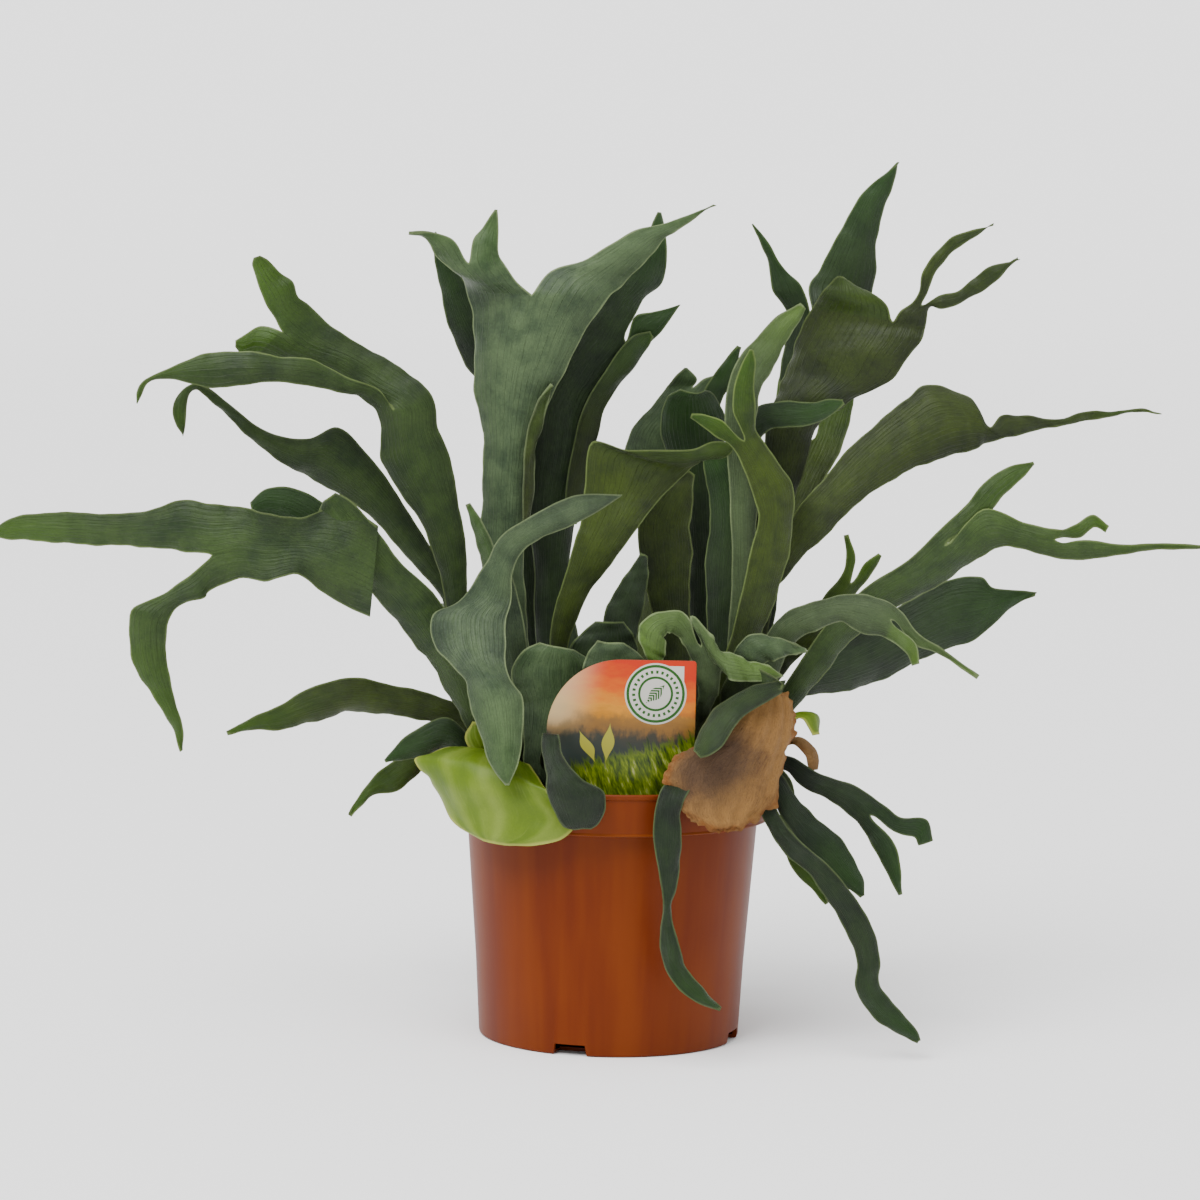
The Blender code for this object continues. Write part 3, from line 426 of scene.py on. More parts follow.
@dataclass(frozen=True)
class BrownShieldFinish(Finish):
    """Old shield leaf: dry, papery and brown, darker in the middle."""

    slot: str = "fern_shield_brown"
    tan: Colour = pigment(188, 146, 100, 0.42, 1.25)
    brown: Colour = pigment(130, 92, 60, 0.4, 1.25)
    # dark is the colour of the painted shadow and of the painted shade patch.
    dark: Colour = pigment(74, 58, 52, 0.4, 1.2)
    rust: Colour = pigment(152, 90, 44, 0.4, 1.3)
    painted_shade_centre: tuple[float, float] = (0.05, 0.153)

    def draw(self, shader: Shader) -> bpy.types.Material:
        """Draw the papery threads, the crumples, a painted shadow away from the margin, a dark patch of painted shade
        and the rusty edge.

        Args:
            shader: the empty material.

        Returns:
            The material.
        """
        place = shader.place()
        across = shader.attribute("across")
        along = shader.attribute("along")
        threads = shader.noise(shader.join(across * 70.0, along * 22.0, 0.0), 1.0, 3.0, 0.65)
        cloud = shader.noise(place, 36.0, 4.0, 0.6)
        grain = shader.noise(place, 700.0, 3.0, 0.7)
        crumple = shader.noise(place, 120.0, 3.0, 0.6)
        body = shader.ramp(cloud * 0.6 + threads * 0.4, [(0.3, self.brown), (0.5, self.tan), (0.72, self.tan)])
        edge = shader.attribute("edge")
        # Painted shadow: darker in patches away from the margin.
        shadow = shader.step(edge, 7.0, 24.0) * shader.step(cloud, 0.42, 0.66) * 0.75
        # Painted shade: a dark patch at a fixed place on the leaf, around painted_shade_centre.
        x, _, z = shader.parts(place)
        across_painted_shade = x - self.painted_shade_centre[0]
        above_painted_shade = z - self.painted_shade_centre[1]
        gap = shader.math("SQRT", across_painted_shade * across_painted_shade + above_painted_shade * above_painted_shade)
        painted_shade_patch = shader.step(gap + (cloud - 0.5) * 0.03, 0.010, 0.032, 0.8, 0.0)
        body = shader.mix(shader.math("MAXIMUM", shadow * 0.5, painted_shade_patch), body, self.dark)
        rust = shader.step(edge, 0.5, 5.0, 1.0, 0.0) * shader.step(crumple, 0.35, 0.65)
        body = shader.mix(rust * 0.7, body, self.rust)
        body = shader.shade(body, shader.attribute("tone") + (0.78 + grain * 0.42))
        shader.bump(threads * 0.5 + crumple * 1.0 + grain * 0.3 + cloud * 0.8, 0.0026, 0.9)
        return shader.finish(base_color=body, roughness=0.78, specular_ior_level=0.25)


@dataclass(frozen=True)
class PlasticFinish(Finish):
    """Orange-brown moulded plastic with faint upright flow streaks and scuffs."""

    ending: ClassVar[str] = "_moulded"
    slot: str = "terracotta_plastic"
    base: Colour = pigment(158, 86, 44, 0.31, 1.42)
    deep: Colour = pigment(138, 68, 34, 0.31, 1.42)
    # This colour serves the real scratches and the painted highlight line.
    scuff_and_highlight: Colour = pigment(170, 104, 62, 0.3, 1.5)
    # Height of the painted highlight line on the rim band's lower edge.
    lip_height: float = 0.1163

    def draw(self, shader: Shader) -> bpy.types.Material:
        """Draw the streaks, the scratches and a painted highlight line along the rim band's lower edge.

        Args:
            shader: the empty material.

        Returns:
            The material.
        """
        place = shader.place()
        x, y, z = shader.parts(place)
        streaks = shader.noise(shader.join(x * 55.0, y * 55.0, z * 2.5), 1.0, 3.0, 0.6)
        cloud = shader.noise(place, 14.0, 2.0)
        grain = shader.noise(place, 1500.0, 2.0, 0.6)
        scratches = shader.noise(shader.join(x * 900.0, y * 900.0, z * 60.0), 1.0, 1.0)
        body = shader.mix(shader.step(streaks * 0.7 + cloud * 0.3, 0.36, 0.64), self.deep, self.base)
        body = shader.mix(shader.step(scratches, 0.7, 0.85) * 0.22, body, self.scuff_and_highlight)
        # Painted highlight: a bright line at the rim band's lower edge.
        lip = shader.step(shader.math("ABSOLUTE", z - self.lip_height), 0.0003, 0.0010, 0.5, 0.0)
        body = shader.mix(lip, body, self.scuff_and_highlight)
        body = shader.shade(body, 0.93 + grain * 0.14)
        shader.bump(grain * 0.2 + streaks * 0.5, 0.0003, 0.4)
        gloss = 0.36 + streaks * 0.12 + grain * 0.06
        return shader.finish(base_color=body, roughness=gloss, specular_ior_level=0.12)


@dataclass(frozen=True)
class EarthFinish(Finish):
    """Peat, bark and fibre, or the matted rhizome of a crown."""

    ending: ClassVar[str] = "_rough"
    slot: str
    low: Colour
    middle: Colour
    high: Colour
    scale: float = 240.0

    def draw(self, shader: Shader) -> bpy.types.Material:
        """Draw the crumbs and the fibres.

        Args:
            shader: the empty material.

        Returns:
            The material.
        """
        place = shader.place()
        x, y, z = shader.parts(place)
        crumbs = shader.noise(place, self.scale, 4.0, 0.7)
        patches = shader.noise(place, 60.0, 2.0)
        fibres = shader.noise(shader.join(x * 900.0, y * 140.0, z * 300.0), 1.0, 2.0)
        body = shader.ramp(
            crumbs * 0.6 + patches * 0.4, [(0.34, self.low), (0.52, self.middle), (0.7, self.high)])
        body = shader.mix(shader.step(fibres, 0.66, 0.8) * 0.5, body, self.high)
        shader.bump(crumbs * 0.8 + fibres * 0.4, 0.002, 0.9)
        return shader.finish(base_color=body, roughness=0.9, specular_ior_level=0.2)


@dataclass(frozen=True)
class LabelFinish(Finish):
    """Printed card: an evening sky over dark hills and grass, with a round badge of rings, dashes and a leaf."""

    ending: ClassVar[str] = "_printed"
    slot: str = "label_card"
    centre: tuple[float, float, float] = (0.0033, -0.066, 0.166)
    badge: tuple[float, float] = (0.0172, 0.0205)
    badge_radius: float = 0.0156
    badge_corner: float = 0.0142
    leaf_half: float = 0.0066

    def draw(self, shader: Shader) -> bpy.types.Material:
        """Draw the print: sky, hills, grass, two leaves and the badge.

        Args:
            shader: the empty material.

        Returns:
            The material.
        """
        place = shader.place()
        x, y, z = shader.parts(place)
        u = x - self.centre[0]
        v = z - self.centre[2]
        drift = shader.noise(shader.join(u * 60.0, v * 160.0), 1.0, 4.0, 0.6)
        height = v * 14.0 + 0.5 + (drift - 0.5) * 0.34 + u * 2.0
        sky = shader.ramp(height, [
            (0.3, pigment(84, 84, 70)), (0.42, pigment(128, 104, 78)), (0.55, pigment(196, 142, 88)),
            (0.68, pigment(240, 176, 112)), (0.82, pigment(234, 128, 76)), (0.98, pigment(214, 84, 48))])
        glow = shader.step(u * -1.0 + v * 0.2, 0.012, 0.036) * shader.step(v, -0.004, 0.01)
        sky = shader.mix(glow * 0.7, sky, pigment(250, 232, 196))
        hills = shader.noise(shader.join(u * 110.0, v * 50.0, 3.0), 1.0, 4.0, 0.65)
        haze = shader.step(v + (hills - 0.5) * 0.02 - u * 0.1, 0.006, 0.012, 1.0, 0.0)
        sky = shader.mix(haze * 0.55, sky, pigment(96, 92, 76))
        ridge = shader.step(v + (hills - 0.5) * 0.024, -0.003, 0.003, 1.0, 0.0)
        picture = shader.mix(ridge * 0.85, sky, pigment(44, 56, 54))
        blades = shader.noise(shader.join(u * 420.0 + v * 130.0, v * 90.0, 7.0), 1.0, 3.0, 0.7)
        grass = shader.ramp(blades, [
            (0.32, pigment(44, 54, 34)), (0.46, pigment(100, 118, 58)), (0.58, pigment(150, 166, 88)),
            (0.7, pigment(220, 222, 170))])
        field_edge = shader.step(v + (blades - 0.5) * 0.03 - u * 0.27, -0.013, -0.008, 1.0, 0.0)
        picture = shader.mix(field_edge, picture, grass)
        for tilt, across, foot, tall in ((-0.51, -0.0124, -0.0155, 0.0173), (0.1, -0.0074, -0.0155, 0.0213)):
            t = (v - foot) / tall
            side = u - across - (v - foot) * tilt
            width = shader.math("SINE", shader.math("MULTIPLY", shader.step(t, 0.0, 1.0), math.pi)) * 0.0032
            inside = shader.math("LESS_THAN", shader.math("ABSOLUTE", side), width)
            picture = shader.mix(inside * 0.85, picture, pigment(212, 208, 128))
        p = u - self.badge[0]
        q = v - self.badge[1]
        distance = shader.math("SQRT", p * p + q * q)
        radius = self.badge_radius
        white = pigment(246, 244, 236)
        green = pigment(64, 104, 56)
        corner = shader.math("LESS_THAN", shader.math("MAXIMUM", p, q), self.badge_corner)
        quarter = shader.math("GREATER_THAN", shader.math("MINIMUM", p, q), 0.0) * corner
        picture = shader.mix(quarter, picture, white)
        picture = shader.mix(shader.math("LESS_THAN", distance, radius), picture, white)
        angle = shader.math("ARCTAN2", q, p)
        dashes = shader.math("GREATER_THAN", shader.math("SINE", angle * 26.0), 0.1)
        rings = (self.band(shader, distance, radius * 0.90, 0.0007)
                 + self.band(shader, distance, radius * 0.53, 0.0006)
                 + self.band(shader, distance, radius * 0.71, 0.0008) * dashes)
        a = (p + q) * 0.707
        b = (q - p) * 0.707
        spread = shader.step(shader.math("ABSOLUTE", a), 0.0, 0.0068, 0.0030, 0.0002)
        leaf = shader.math("LESS_THAN", shader.math("ABSOLUTE", b), spread)
        leaf = leaf * shader.math("LESS_THAN", shader.math("ABSOLUTE", a), self.leaf_half)
        cuts = shader.math("GREATER_THAN", shader.math("SINE", (a + shader.math("ABSOLUTE", b)) * 3600.0), -0.45)
        picture = shader.mix(shader.math("MINIMUM", rings + leaf * cuts, 1.0), picture, green)
        front = shader.math("LESS_THAN", y, self.centre[1])
        picture = shader.mix(front, pigment(226, 222, 212), picture)
        return shader.finish(base_color=picture, roughness=0.34 + drift * 0.06, specular_ior_level=0.25)

    def band(self, shader: Shader, distance: Wire, radius: float, half: float) -> Wire:
        """A ring of ink.

        Args:
            shader: the shader that draws it.
            distance: the distance from the badge's centre.
            radius: the ring's radius.
            half: half of its width.

        Returns:
            1 on the ring and 0 off it.
        """
        gap = shader.math("ABSOLUTE", distance - radius)
        return shader.math("LESS_THAN", gap, half)


def new_piece(name: str, points: Sequence[Sequence[float]], faces: Sequence[tuple]) -> bpy.types.Object:
    """Make a piece and put it in the scene.

    Args:
        name: its name.
        points: its points, in metres.
        faces: the numbers of each face's points.

    Returns:
        The piece.
    """
    mesh = bpy.data.meshes.new(name)
    mesh.from_pydata(points, [], faces)
    piece = bpy.data.objects.new(name, mesh)
    bpy.context.scene.collection.objects.link(piece)
    return piece


def hold_in(vertex: bpy.types.MeshVertex, room: float) -> None:
    """Bring a vertex back to a distance from the pot's axis.

    Args:
        vertex: the vertex, which stays as it is where it is nearer.
        room: the greatest distance, in metres.
    """
    reach = math.hypot(vertex.co.x, vertex.co.y)
    if reach > room:
        vertex.co.x *= room / reach
        vertex.co.y *= room / reach


def pick(*pieces: bpy.types.Object) -> None:
    """Select some pieces alone and make the first one active.

    Args:
        pieces: the pieces.
    """
    bpy.ops.object.select_all(action="DESELECT")
    for piece in pieces:
        piece.select_set(True)
    bpy.context.view_layer.objects.active = pieces[0]


def apply_all(piece: bpy.types.Object) -> None:
    """Apply a piece's modifiers in order.

    Args:
        piece: the piece.
    """
    pick(piece)
    for change in list(piece.modifiers):
        bpy.ops.object.modifier_apply(modifier=change.name)


def hand_over(piece: bpy.types.Object, finish: Finish, nodes: Sequence[str], smooth: float = 40.0) -> None:
    """Dress a piece, smooth it and tell the frame what it stands for.

    Args:
        piece: the finished piece.
        finish: its finish.
        nodes: the CAD nodes that it replaces.
        smooth: the angle under which edges are smooth, in degrees.
    """
    pick(piece)
    bpy.ops.object.transform_apply(location=True, rotation=True, scale=True)
    piece.data.materials.clear()
    piece.data.materials.append(finish.material())
    bpy.ops.object.shade_smooth_by_angle(angle=math.radians(smooth))
    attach(piece, "root")
    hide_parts(*nodes)
    log.info("%s: %d faces", piece.name, len(piece.data.polygons))


def unit(vector: np.ndarray) -> np.ndarray:
    """The vector at a length of one."""
    return vector / max(np.linalg.norm(vector), 1e-9)


def pair(x1: float, z1: float, x2: float, z2: float, y1: float, y2: Optional[float] = None,
         curl: float = 22.0) -> tuple:
    """A station given by the frond's two margins.

    Args:
        x1: the first margin's x, in millimetres. It is on the left of a frond that rises.
        z1: its height.
        x2: the second margin's x.
        z2: its height.
        y1: the first margin's depth.
        y2: the second margin's depth, or the same.
        curl: how far the blade is arched between them, in degrees.

    Returns:
        A station with its own direction across.
    """
    y2 = y1 if y2 is None else y2
    side = np.array([x2 - x1, y2 - y1, z2 - z1], float)
    return (x1 + x2) / 2.0, (y1 + y2) / 2.0, (z1 + z2) / 2.0, float(np.linalg.norm(side)) / 2.0, 0.0, curl, unit(side)


class Segment:
    """One stretch of a frond: stations of (x, y, z, half width[, roll, curl]) and the lobes it forks into."""

    def __init__(self, stations: Sequence[tuple], splits: Sequence[float] = (), lobes: Sequence[Segment] = (),
                 roll: float = 0.0, curl: float = 20.0, across: Optional[tuple] = None) -> None:
        """Take the stations and lobes.

        Args:
            stations: the places along the middle line, in millimetres, or pairs.
            splits: where it forks, from -1 at its first margin to 1.
            lobes: one more than the splits.
            roll: turn about its run, in degrees, where a station has none of its own.
            curl: arch between its margins, in degrees, likewise.
            across: its direction across, where it isn't square to the front view.
        """
        self.stations = []
        for station in stations:
            turn = station[4] if len(station) > 4 else roll
            bend = station[5] if len(station) > 5 else curl
            side = station[6] if len(station) > 6 else None
            self.stations.append((np.array(station[:3], float), station[3], turn, bend, side))
        self.splits = list(splits)
        self.lobes = list(lobes)
        self.across = None if across is None else np.array(across, float)

    def columns(self, count: int) -> list[float]:
        """The places across this stretch where its vein lines run.

        Args:
            count: how many each last lobe has.

        Returns:
            Places from -1 to 1.
        """
        if not self.lobes:
            spread = np.linspace(-1.0, 1.0, count)
            return list(0.55 * spread + 0.45 * np.sin(spread * math.pi / 2.0))
        bounds = [-1.0] + self.splits + [1.0]
        places: list[float] = []
        for index, lobe in enumerate(self.lobes):
            low, high = bounds[index], bounds[index + 1]
            inner = [low + (t + 1.0) / 2.0 * (high - low) for t in lobe.columns(count)]
            places += inner if index == 0 else inner[1:]
        return places

    def reach(self, start: np.ndarray) -> float:
        """How far the stretch and its longest lobe run.

        Args:
            start: the place before its first station.

        Returns:
            The length in millimetres.
        """
        centres = [start] + [station[0] for station in self.stations]
        run = sum(float(np.linalg.norm(b - a)) for a, b in zip(centres, centres[1:]))
        return run + max([lobe.reach(centres[-1]) for lobe in self.lobes], default=0.0)


@dataclass
class Sheet:
    """The middle surface of a frond, grown stretch by stretch."""

    columns: int = 11
    rows_per_span: int = 7
    sinus_turn: float = 0.55
    flat: float = 1e-3
    points: list = field(default_factory=list)
    faces: list = field(default_factory=list)
    marks: list = field(default_factory=list)

    def add_row(self, row: np.ndarray, across: np.ndarray, along: float, left: float) -> list[int]:
        """Add the points of a row with their marks.

        Args:
            row: the points.
            across: their places over the frond, from 0 to 1.
            along: the length from the crown.
            left: the length that is left to the tip.

        Returns:
            The points' numbers.
        """
        first = len(self.points)
        self.points += list(row)
        self.marks += [(float(a), along, left) for a in across]
        return list(range(first, first + len(row)))

    def control_row(self, centre: np.ndarray, tangent: np.ndarray, half_width: float, roll: float, curl: float,
                    across: Optional[np.ndarray], places: np.ndarray,
                    side: Optional[np.ndarray] = None) -> np.ndarray:
        """The points across a station, on a circular arc.

        Args:
            centre: the station's place.
            tangent: the run of the frond.
            half_width: half of its width.
            roll: its turn about the run, in degrees.
            curl: its arch, in degrees.
            across: the stretch's own direction across, or None.
            places: where the points are, from -1 to 1.
            side: the station's own direction across, or None.

        Returns:
            One point for each place.
        """
        if side is not None:
            side = np.array(side)
        elif across is None:
            side = unit(np.cross(VIEW, tangent))
        else:
            side = unit(across - tangent * np.dot(across, tangent))
        face = unit(np.cross(side, tangent))
        turn = math.radians(roll)
        side, face = (side * math.cos(turn) + face * math.sin(turn), face * math.cos(turn) - side * math.sin(turn))
        bend = math.radians(curl)
        if abs(bend) < self.flat:
            return centre + np.outer(places, side * half_width)
        out = half_width * np.sin(bend * places) / math.sin(bend)
        back = half_width * (1.0 - np.cos(bend * places)) / bend
        return centre + np.outer(out, side) - np.outer(back, face)

    def net(self, segment: Segment, places: np.ndarray, start: Optional[np.ndarray]) -> list[np.ndarray]:
        """Control rows of the segment's own stations.

        Args:
            segment: the stretch.
            places: where the points of a row are, from -1 to 1.
            start: the place before its first station, or None.

        Returns:
            One row for each station.
        """
        centres = [station[0] for station in segment.stations]
        rows = []
        for i, (centre, half_width, roll, curl, side) in enumerate(segment.stations):
            before = centres[i - 1] if i else (start if start is not None else centre)
            after = centres[i + 1] if i + 1 < len(centres) else centre
            tangent = unit(after - before)
            rows.append(self.control_row(centre, tangent, half_width, roll, curl, segment.across, places, side))
        return rows

    def grow(self, segment: Segment, across: Optional[np.ndarray] = None, start: Optional[dict] = None) -> None:
        """Add the segment.

        Args:
            segment: the stretch to grow.
            across: each column's place over the whole frond, from 0 to 1.
            start: the fork row's indices, points, runs, centre and length so far.
        """
        places = np.array(segment.columns(self.columns))
        if across is None:
            across = (places + 1.0) / 2.0
        rows = self.net(segment, places, None if start is None else start["centre"])
        centres = [station[0] for station in segment.stations]
        if start is not None:
            rows = [start["points"]] + rows
            centres = [start["centre"]] + centres
        along = 0.0 if start is None else start["along"]
        left = segment.reach(centres[0])
        lengths = [max(float(np.linalg.norm(b - a)), 1.0) for a, b in zip(centres, centres[1:])]
        nexts = self.first_rows(segment, rows[-1])
        runs = []
        for i, row in enumerate(rows):
            if i == 0 and start is not None:
                runs.append(start["runs"])
            elif i == 0:
                runs.append((rows[1] - row) / lengths[0])
            elif i + 1 < len(rows):
                runs.append((rows[i + 1] - rows[i - 1]) / (lengths[i] + lengths[i - 1]))
            elif nexts is not None:
                ahead = np.mean(np.linalg.norm(nexts - row, axis=1))
                runs.append((nexts - rows[i - 1]) / (ahead + lengths[i - 1]))
            else:
                runs.append((row - rows[i - 1]) / lengths[i - 1])
        lower = self.add_row(rows[0], across, along, left) if start is None else start["indices"]
        for i, run in enumerate(lengths):
            for step in range(1, self.rows_per_span + 1):
                s = step / self.rows_per_span
                point = ((2 * s**3 - 3 * s**2 + 1) * rows[i] + (s**3 - 2 * s**2 + s) * run * runs[i]
                         + (3 * s**2 - 2 * s**3) * rows[i + 1] + (s**3 - s**2) * run * runs[i + 1])
                upper = self.add_row(point, across, along + run * s, left - run * s)
                for j in range(len(lower) - 1):
                    self.faces.append((lower[j], lower[j + 1], upper[j + 1], upper[j]))
                lower = upper
            along += run
            left -= run
        self.fork(segment, across, rows[-1], runs[-1], lower, along)

    def slices(self, segment: Segment) -> list[tuple[int, int]]:
        """The first and last column of each lobe on its parent's last row.

        Args:
            segment: the parent.

        Returns:
            A pair of numbers for each lobe.
        """
        spans = []
        first = 0
        for lobe in segment.lobes:
            last = first + len(lobe.columns(self.columns)) - 1
            spans.append((first, last))
            first = last
        return spans

    def first_rows(self, segment: Segment, row: np.ndarray) -> Optional[np.ndarray]:
        """The next row seen from the fork, with the shared vein lines averaged.

        Args:
            segment: the stretch that forks.
            row: its last row.

        Returns:
            The row, or None where there are no lobes.
        """
        if not segment.lobes:
            return None
        total = np.zeros_like(row)
        hits = np.zeros((len(row), 1))
        for lobe, (first, last) in zip(segment.lobes, self.slices(segment)):
            middle = row[(first + last) // 2]
            total[first:last + 1] += self.net(lobe, np.array(lobe.columns(self.columns)), middle)[0]
            hits[first:last + 1] += 1
        return total / hits

    def fork(self, segment: Segment, across: np.ndarray, row: np.ndarray, runs: np.ndarray,
             indices: list[int], along: float) -> None:
        """Start each lobe, turning its inner edge sideways so that the gap between lobes is round.

        Args:
            segment: the stretch that forks.
            across: the places of its columns over the frond.
            row: its last row.
            runs: how the row's points run on.
            indices: their numbers.
            along: the length from the crown.
        """
        spans = self.slices(segment)
        for number, (lobe, (first, last)) in enumerate(zip(segment.lobes, spans)):
            own = runs[first:last + 1].copy()
            points = row[first:last + 1]
            side = unit(points[-1] - points[0])
            speed = np.linalg.norm(own, axis=1).mean()
            fade = (1.0 - np.linspace(0.0, 1.0, len(own))[:, None]) ** 4 * self.sinus_turn
            if number > 0:
                own = own * (1.0 - fade) + side * speed * fade
            if number + 1 < len(spans):
                own = own * (1.0 - fade[::-1]) - side * speed * fade[::-1]
            self.grow(lobe, across[first:last + 1], {
                "indices": indices[first:last + 1], "points": points, "runs": own,
                "centre": points[len(points) // 2], "along": along})


@dataclass
class Grower:
    """Grows fronds and shield leaves from the crowns."""

    thickness: float = 1.3
    margin_share: float = 0.3
    thinning: float = 7.0
    seat_depth: float = 3.0
    seat_rise: float = 2.0
    free_run: float = 45.0
    frill_reach: float = 5.0
    torn_run: float = 40.0
    lump_size: float = 34.0
    lump_height: float = 1.5
    fresh_run: float = 70.0
    phase_step: float = 1.7
    made: int = 0

    def seat(self, crown: str, towards: np.ndarray) -> np.ndarray:
        """The place inside a crown's dome that faces a point.

        Args:
            crown: which crown.
            towards: the point, in millimetres.

        Returns:
            The place, in millimetres.
        """
        low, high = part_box("crown_" + crown)
        low, high = np.array(low) / MM, np.array(high) / MM
        centre = np.array([(low[0] + high[0]) / 2.0, (low[1] + high[1]) / 2.0, low[2]])
        scale = np.array([(high[0] - low[0]) / 2.0, (high[1] - low[1]) / 2.0, high[2] - low[2]])
        ray = towards - centre
        ray[2] = max(ray[2], self.seat_rise)
        surface = centre + ray / np.linalg.norm(ray / scale)
        return surface - unit((surface - centre) / scale**2) * self.seat_depth

    def frond(self, name: str, crown: str, segment: Segment, look: Look | Finish, base: float = 3.2,
              wave: float = 1.0, wavelength: float = 26.0, tip: float = 0.5, tone: float = 0.0,
              turned: bool = False, ribs: float = 0.0, ragged: float = 0.0,
              sheet: Optional[Sheet] = None, strips: Sequence[Segment] = ()) -> bpy.types.Object:
        """Grow one frond.

        Args:
            name: the CAD node that it replaces.
            crown: the crown that it grows from.
            segment: its stations and lobes.
            look: its finish.
            base: half width of its stalk, in millimetres.
            wave: height of the waves along its margins.
            wavelength: length of those waves.
            tip: how much fresher its tips are, from 0 to 1.
            tone: lighter or darker than its finish.
            turned: True where the face that the sheet calls its front is its underside.
            ribs: height of broad ribs that run along it.
            ragged: how far its margin is torn in and out.
            sheet: a sheet with its own fineness.
            strips: stretches of its blade that start away from the stalk.

        Returns:
            The finished piece.
        """
        self.made += 1
        first = segment.stations[0]
        seat = self.seat(crown, first[0].copy())
        segment.stations.insert(0, (seat, base, first[2], first[3], None))
        sheet = sheet or Sheet(columns=11 if segment.lobes else 15)
        sheet.grow(segment)
        stalk = len(sheet.points) if strips and not segment.lobes else 0
        for strip in strips:
            sheet.grow(strip)
        points = np.array(sheet.points)
        marks = np.array(sheet.marks)
        edge = self.margin_distance(points, sheet.faces, marks[:, 1])
        normals = self.normals(points, sheet.faces)
        along = marks[:, 1]
        phase = self.made * self.phase_step
        free = np.clip(along / self.free_run, 0.0, 1.0)
        frill = np.exp(-edge / self.frill_reach) * free
        across = marks[:, 0]
        turns = along * (2 * math.pi / wavelength)
        sway = np.sin(turns + phase + across * 5.0) + 0.5 * np.sin(turns * 2.3 + phase * 2.1 - across * 4.0)
        lumps = np.array([noise.noise(Vector((p[0], p[1] + phase * 9.0, p[2])) / self.lump_size) for p in points])
        rise = wave * frill * sway * 0.6 + lumps * self.lump_height * free
        depth = edge / self.thinning
        rise += ribs * np.sin(across * 31.0 + lumps * 1.2 + phase) * np.clip(depth, 0.25, 1.0) * free
        points = points + normals * rise[:, None]
        if ragged > 0.0:
            points = self.tear(points, edge, along, ragged)
        share = np.clip(depth, 0.0, 1.0) * (1.0 - self.margin_share) + self.margin_share
        fresh = np.clip(1.0 - marks[:, 2] / self.fresh_run, 0.0, 1.0) ** 1.6 * tip
        fresh[:stalk] = 0.0
        piece = self.body(name, points, sheet.faces, share)
        self.mark(piece, points * MM, {
            "across": across, "along": along * MM * 8.0, "edge": edge, "fresh": fresh,
            "tone": np.full(len(points), tone)}, normals, turned)
        finish = look.value if isinstance(look, Enum) else look
        hand_over(piece, finish, [name], 60.0)
        return piece

    def normals(self, points: np.ndarray, faces: list) -> np.ndarray:
        """The sheet's normal at each point.

        Args:
            points: its points.
            faces: its faces.

        Returns:
            One unit vector for each point.
        """
        corners = np.array(faces)
        cross = np.cross(points[corners[:, 2]] - points[corners[:, 0]], points[corners[:, 3]] - points[corners[:, 1]])
        total = np.zeros_like(points)
        for k in range(4):
            np.add.at(total, corners[:, k], cross)
        return total / np.maximum(np.linalg.norm(total, axis=1, keepdims=True), 1e-9)

    def margin(self, faces: list) -> list[tuple[int, int]]:
        """The edges that belong to one face only.

        Args:
            faces: the faces.

        Returns:
            The numbers of each edge's two points.
        """
        seen: dict[tuple[int, int], int] = {}
        for face in faces:
            for i in range(4):
                a, b = face[i], face[(i + 1) % 4]
                seen[(min(a, b), max(a, b))] = seen.get((min(a, b), max(a, b)), 0) + 1
        return [edge for edge, count in seen.items() if count == 1]

    def margin_distance(self, points: np.ndarray, faces: list, along: np.ndarray) -> np.ndarray:
        """How far each point is from the frond's margin.

        Args:
            points: the points.
            faces: the faces.
            along: the points' lengths from the crown, where the sheet's first row is no margin.

        Returns:
            The distances in millimetres.
        """
        pairs = [two for two in self.margin(faces) if along[two[0]] + along[two[1]] > 0.0]
        rim = np.array([points[a] * (1 - s) + points[b] * s for a, b in pairs for s in (0.0, 0.5)])
        tree = kdtree.KDTree(len(rim))
        for i, p in enumerate(rim):
            tree.insert(p, i)
        tree.balance()
        gaps = np.array([tree.find(p)[2] for p in points])
        gaps[np.unique(np.array(pairs).ravel())] = 0.0
        return gaps

    def tear(self, points: np.ndarray, edge: np.ndarray, along: np.ndarray, depth: float) -> np.ndarray:
        """Push the margin in and out unevenly along its own plane.

        Args:
            points: the points.
            edge: their distances from the margin.
            along: their lengths from the crown.
            depth: how far, in millimetres.

        Returns:
            The moved points.
        """
        middle = points.mean(axis=0)
        moved = points.copy()
        for i, p in enumerate(points):
            near = math.exp(-edge[i] / self.frill_reach) * min(along[i] / self.torn_run, 1.0)
            if near < 0.02:
                continue
            rough = noise.noise(Vector(p) / 7.0) + 0.6 * noise.noise(Vector(p) / 2.6)
            moved[i] += unit(p - middle) * rough * depth * near
        return moved

    def body(self, name: str, points: np.ndarray, faces: list, share: np.ndarray) -> bpy.types.Object:
        """A closed leaf either side of the sheet, thinner at its margin.

        Args:
            name: the CAD node's name.
            points: the sheet's points, in millimetres.
            faces: its faces.
            share: how much of the thickness each point has.

        Returns:
            The leaf.
        """
        piece = new_piece(name + "_leaf", [tuple(p) for p in points * MM], faces)
        group = piece.vertex_groups.new(name="flesh")
        levels = np.round(share, 2)
        for level in np.unique(levels):
            group.add([int(i) for i in np.nonzero(levels == level)[0]], float(level), "REPLACE")
        wall = piece.modifiers.new("wall", "SOLIDIFY")
        wall.thickness = self.thickness * MM
        wall.offset = 0.0
        wall.vertex_group = "flesh"
        apply_all(piece)
        piece.vertex_groups.clear()
        return piece

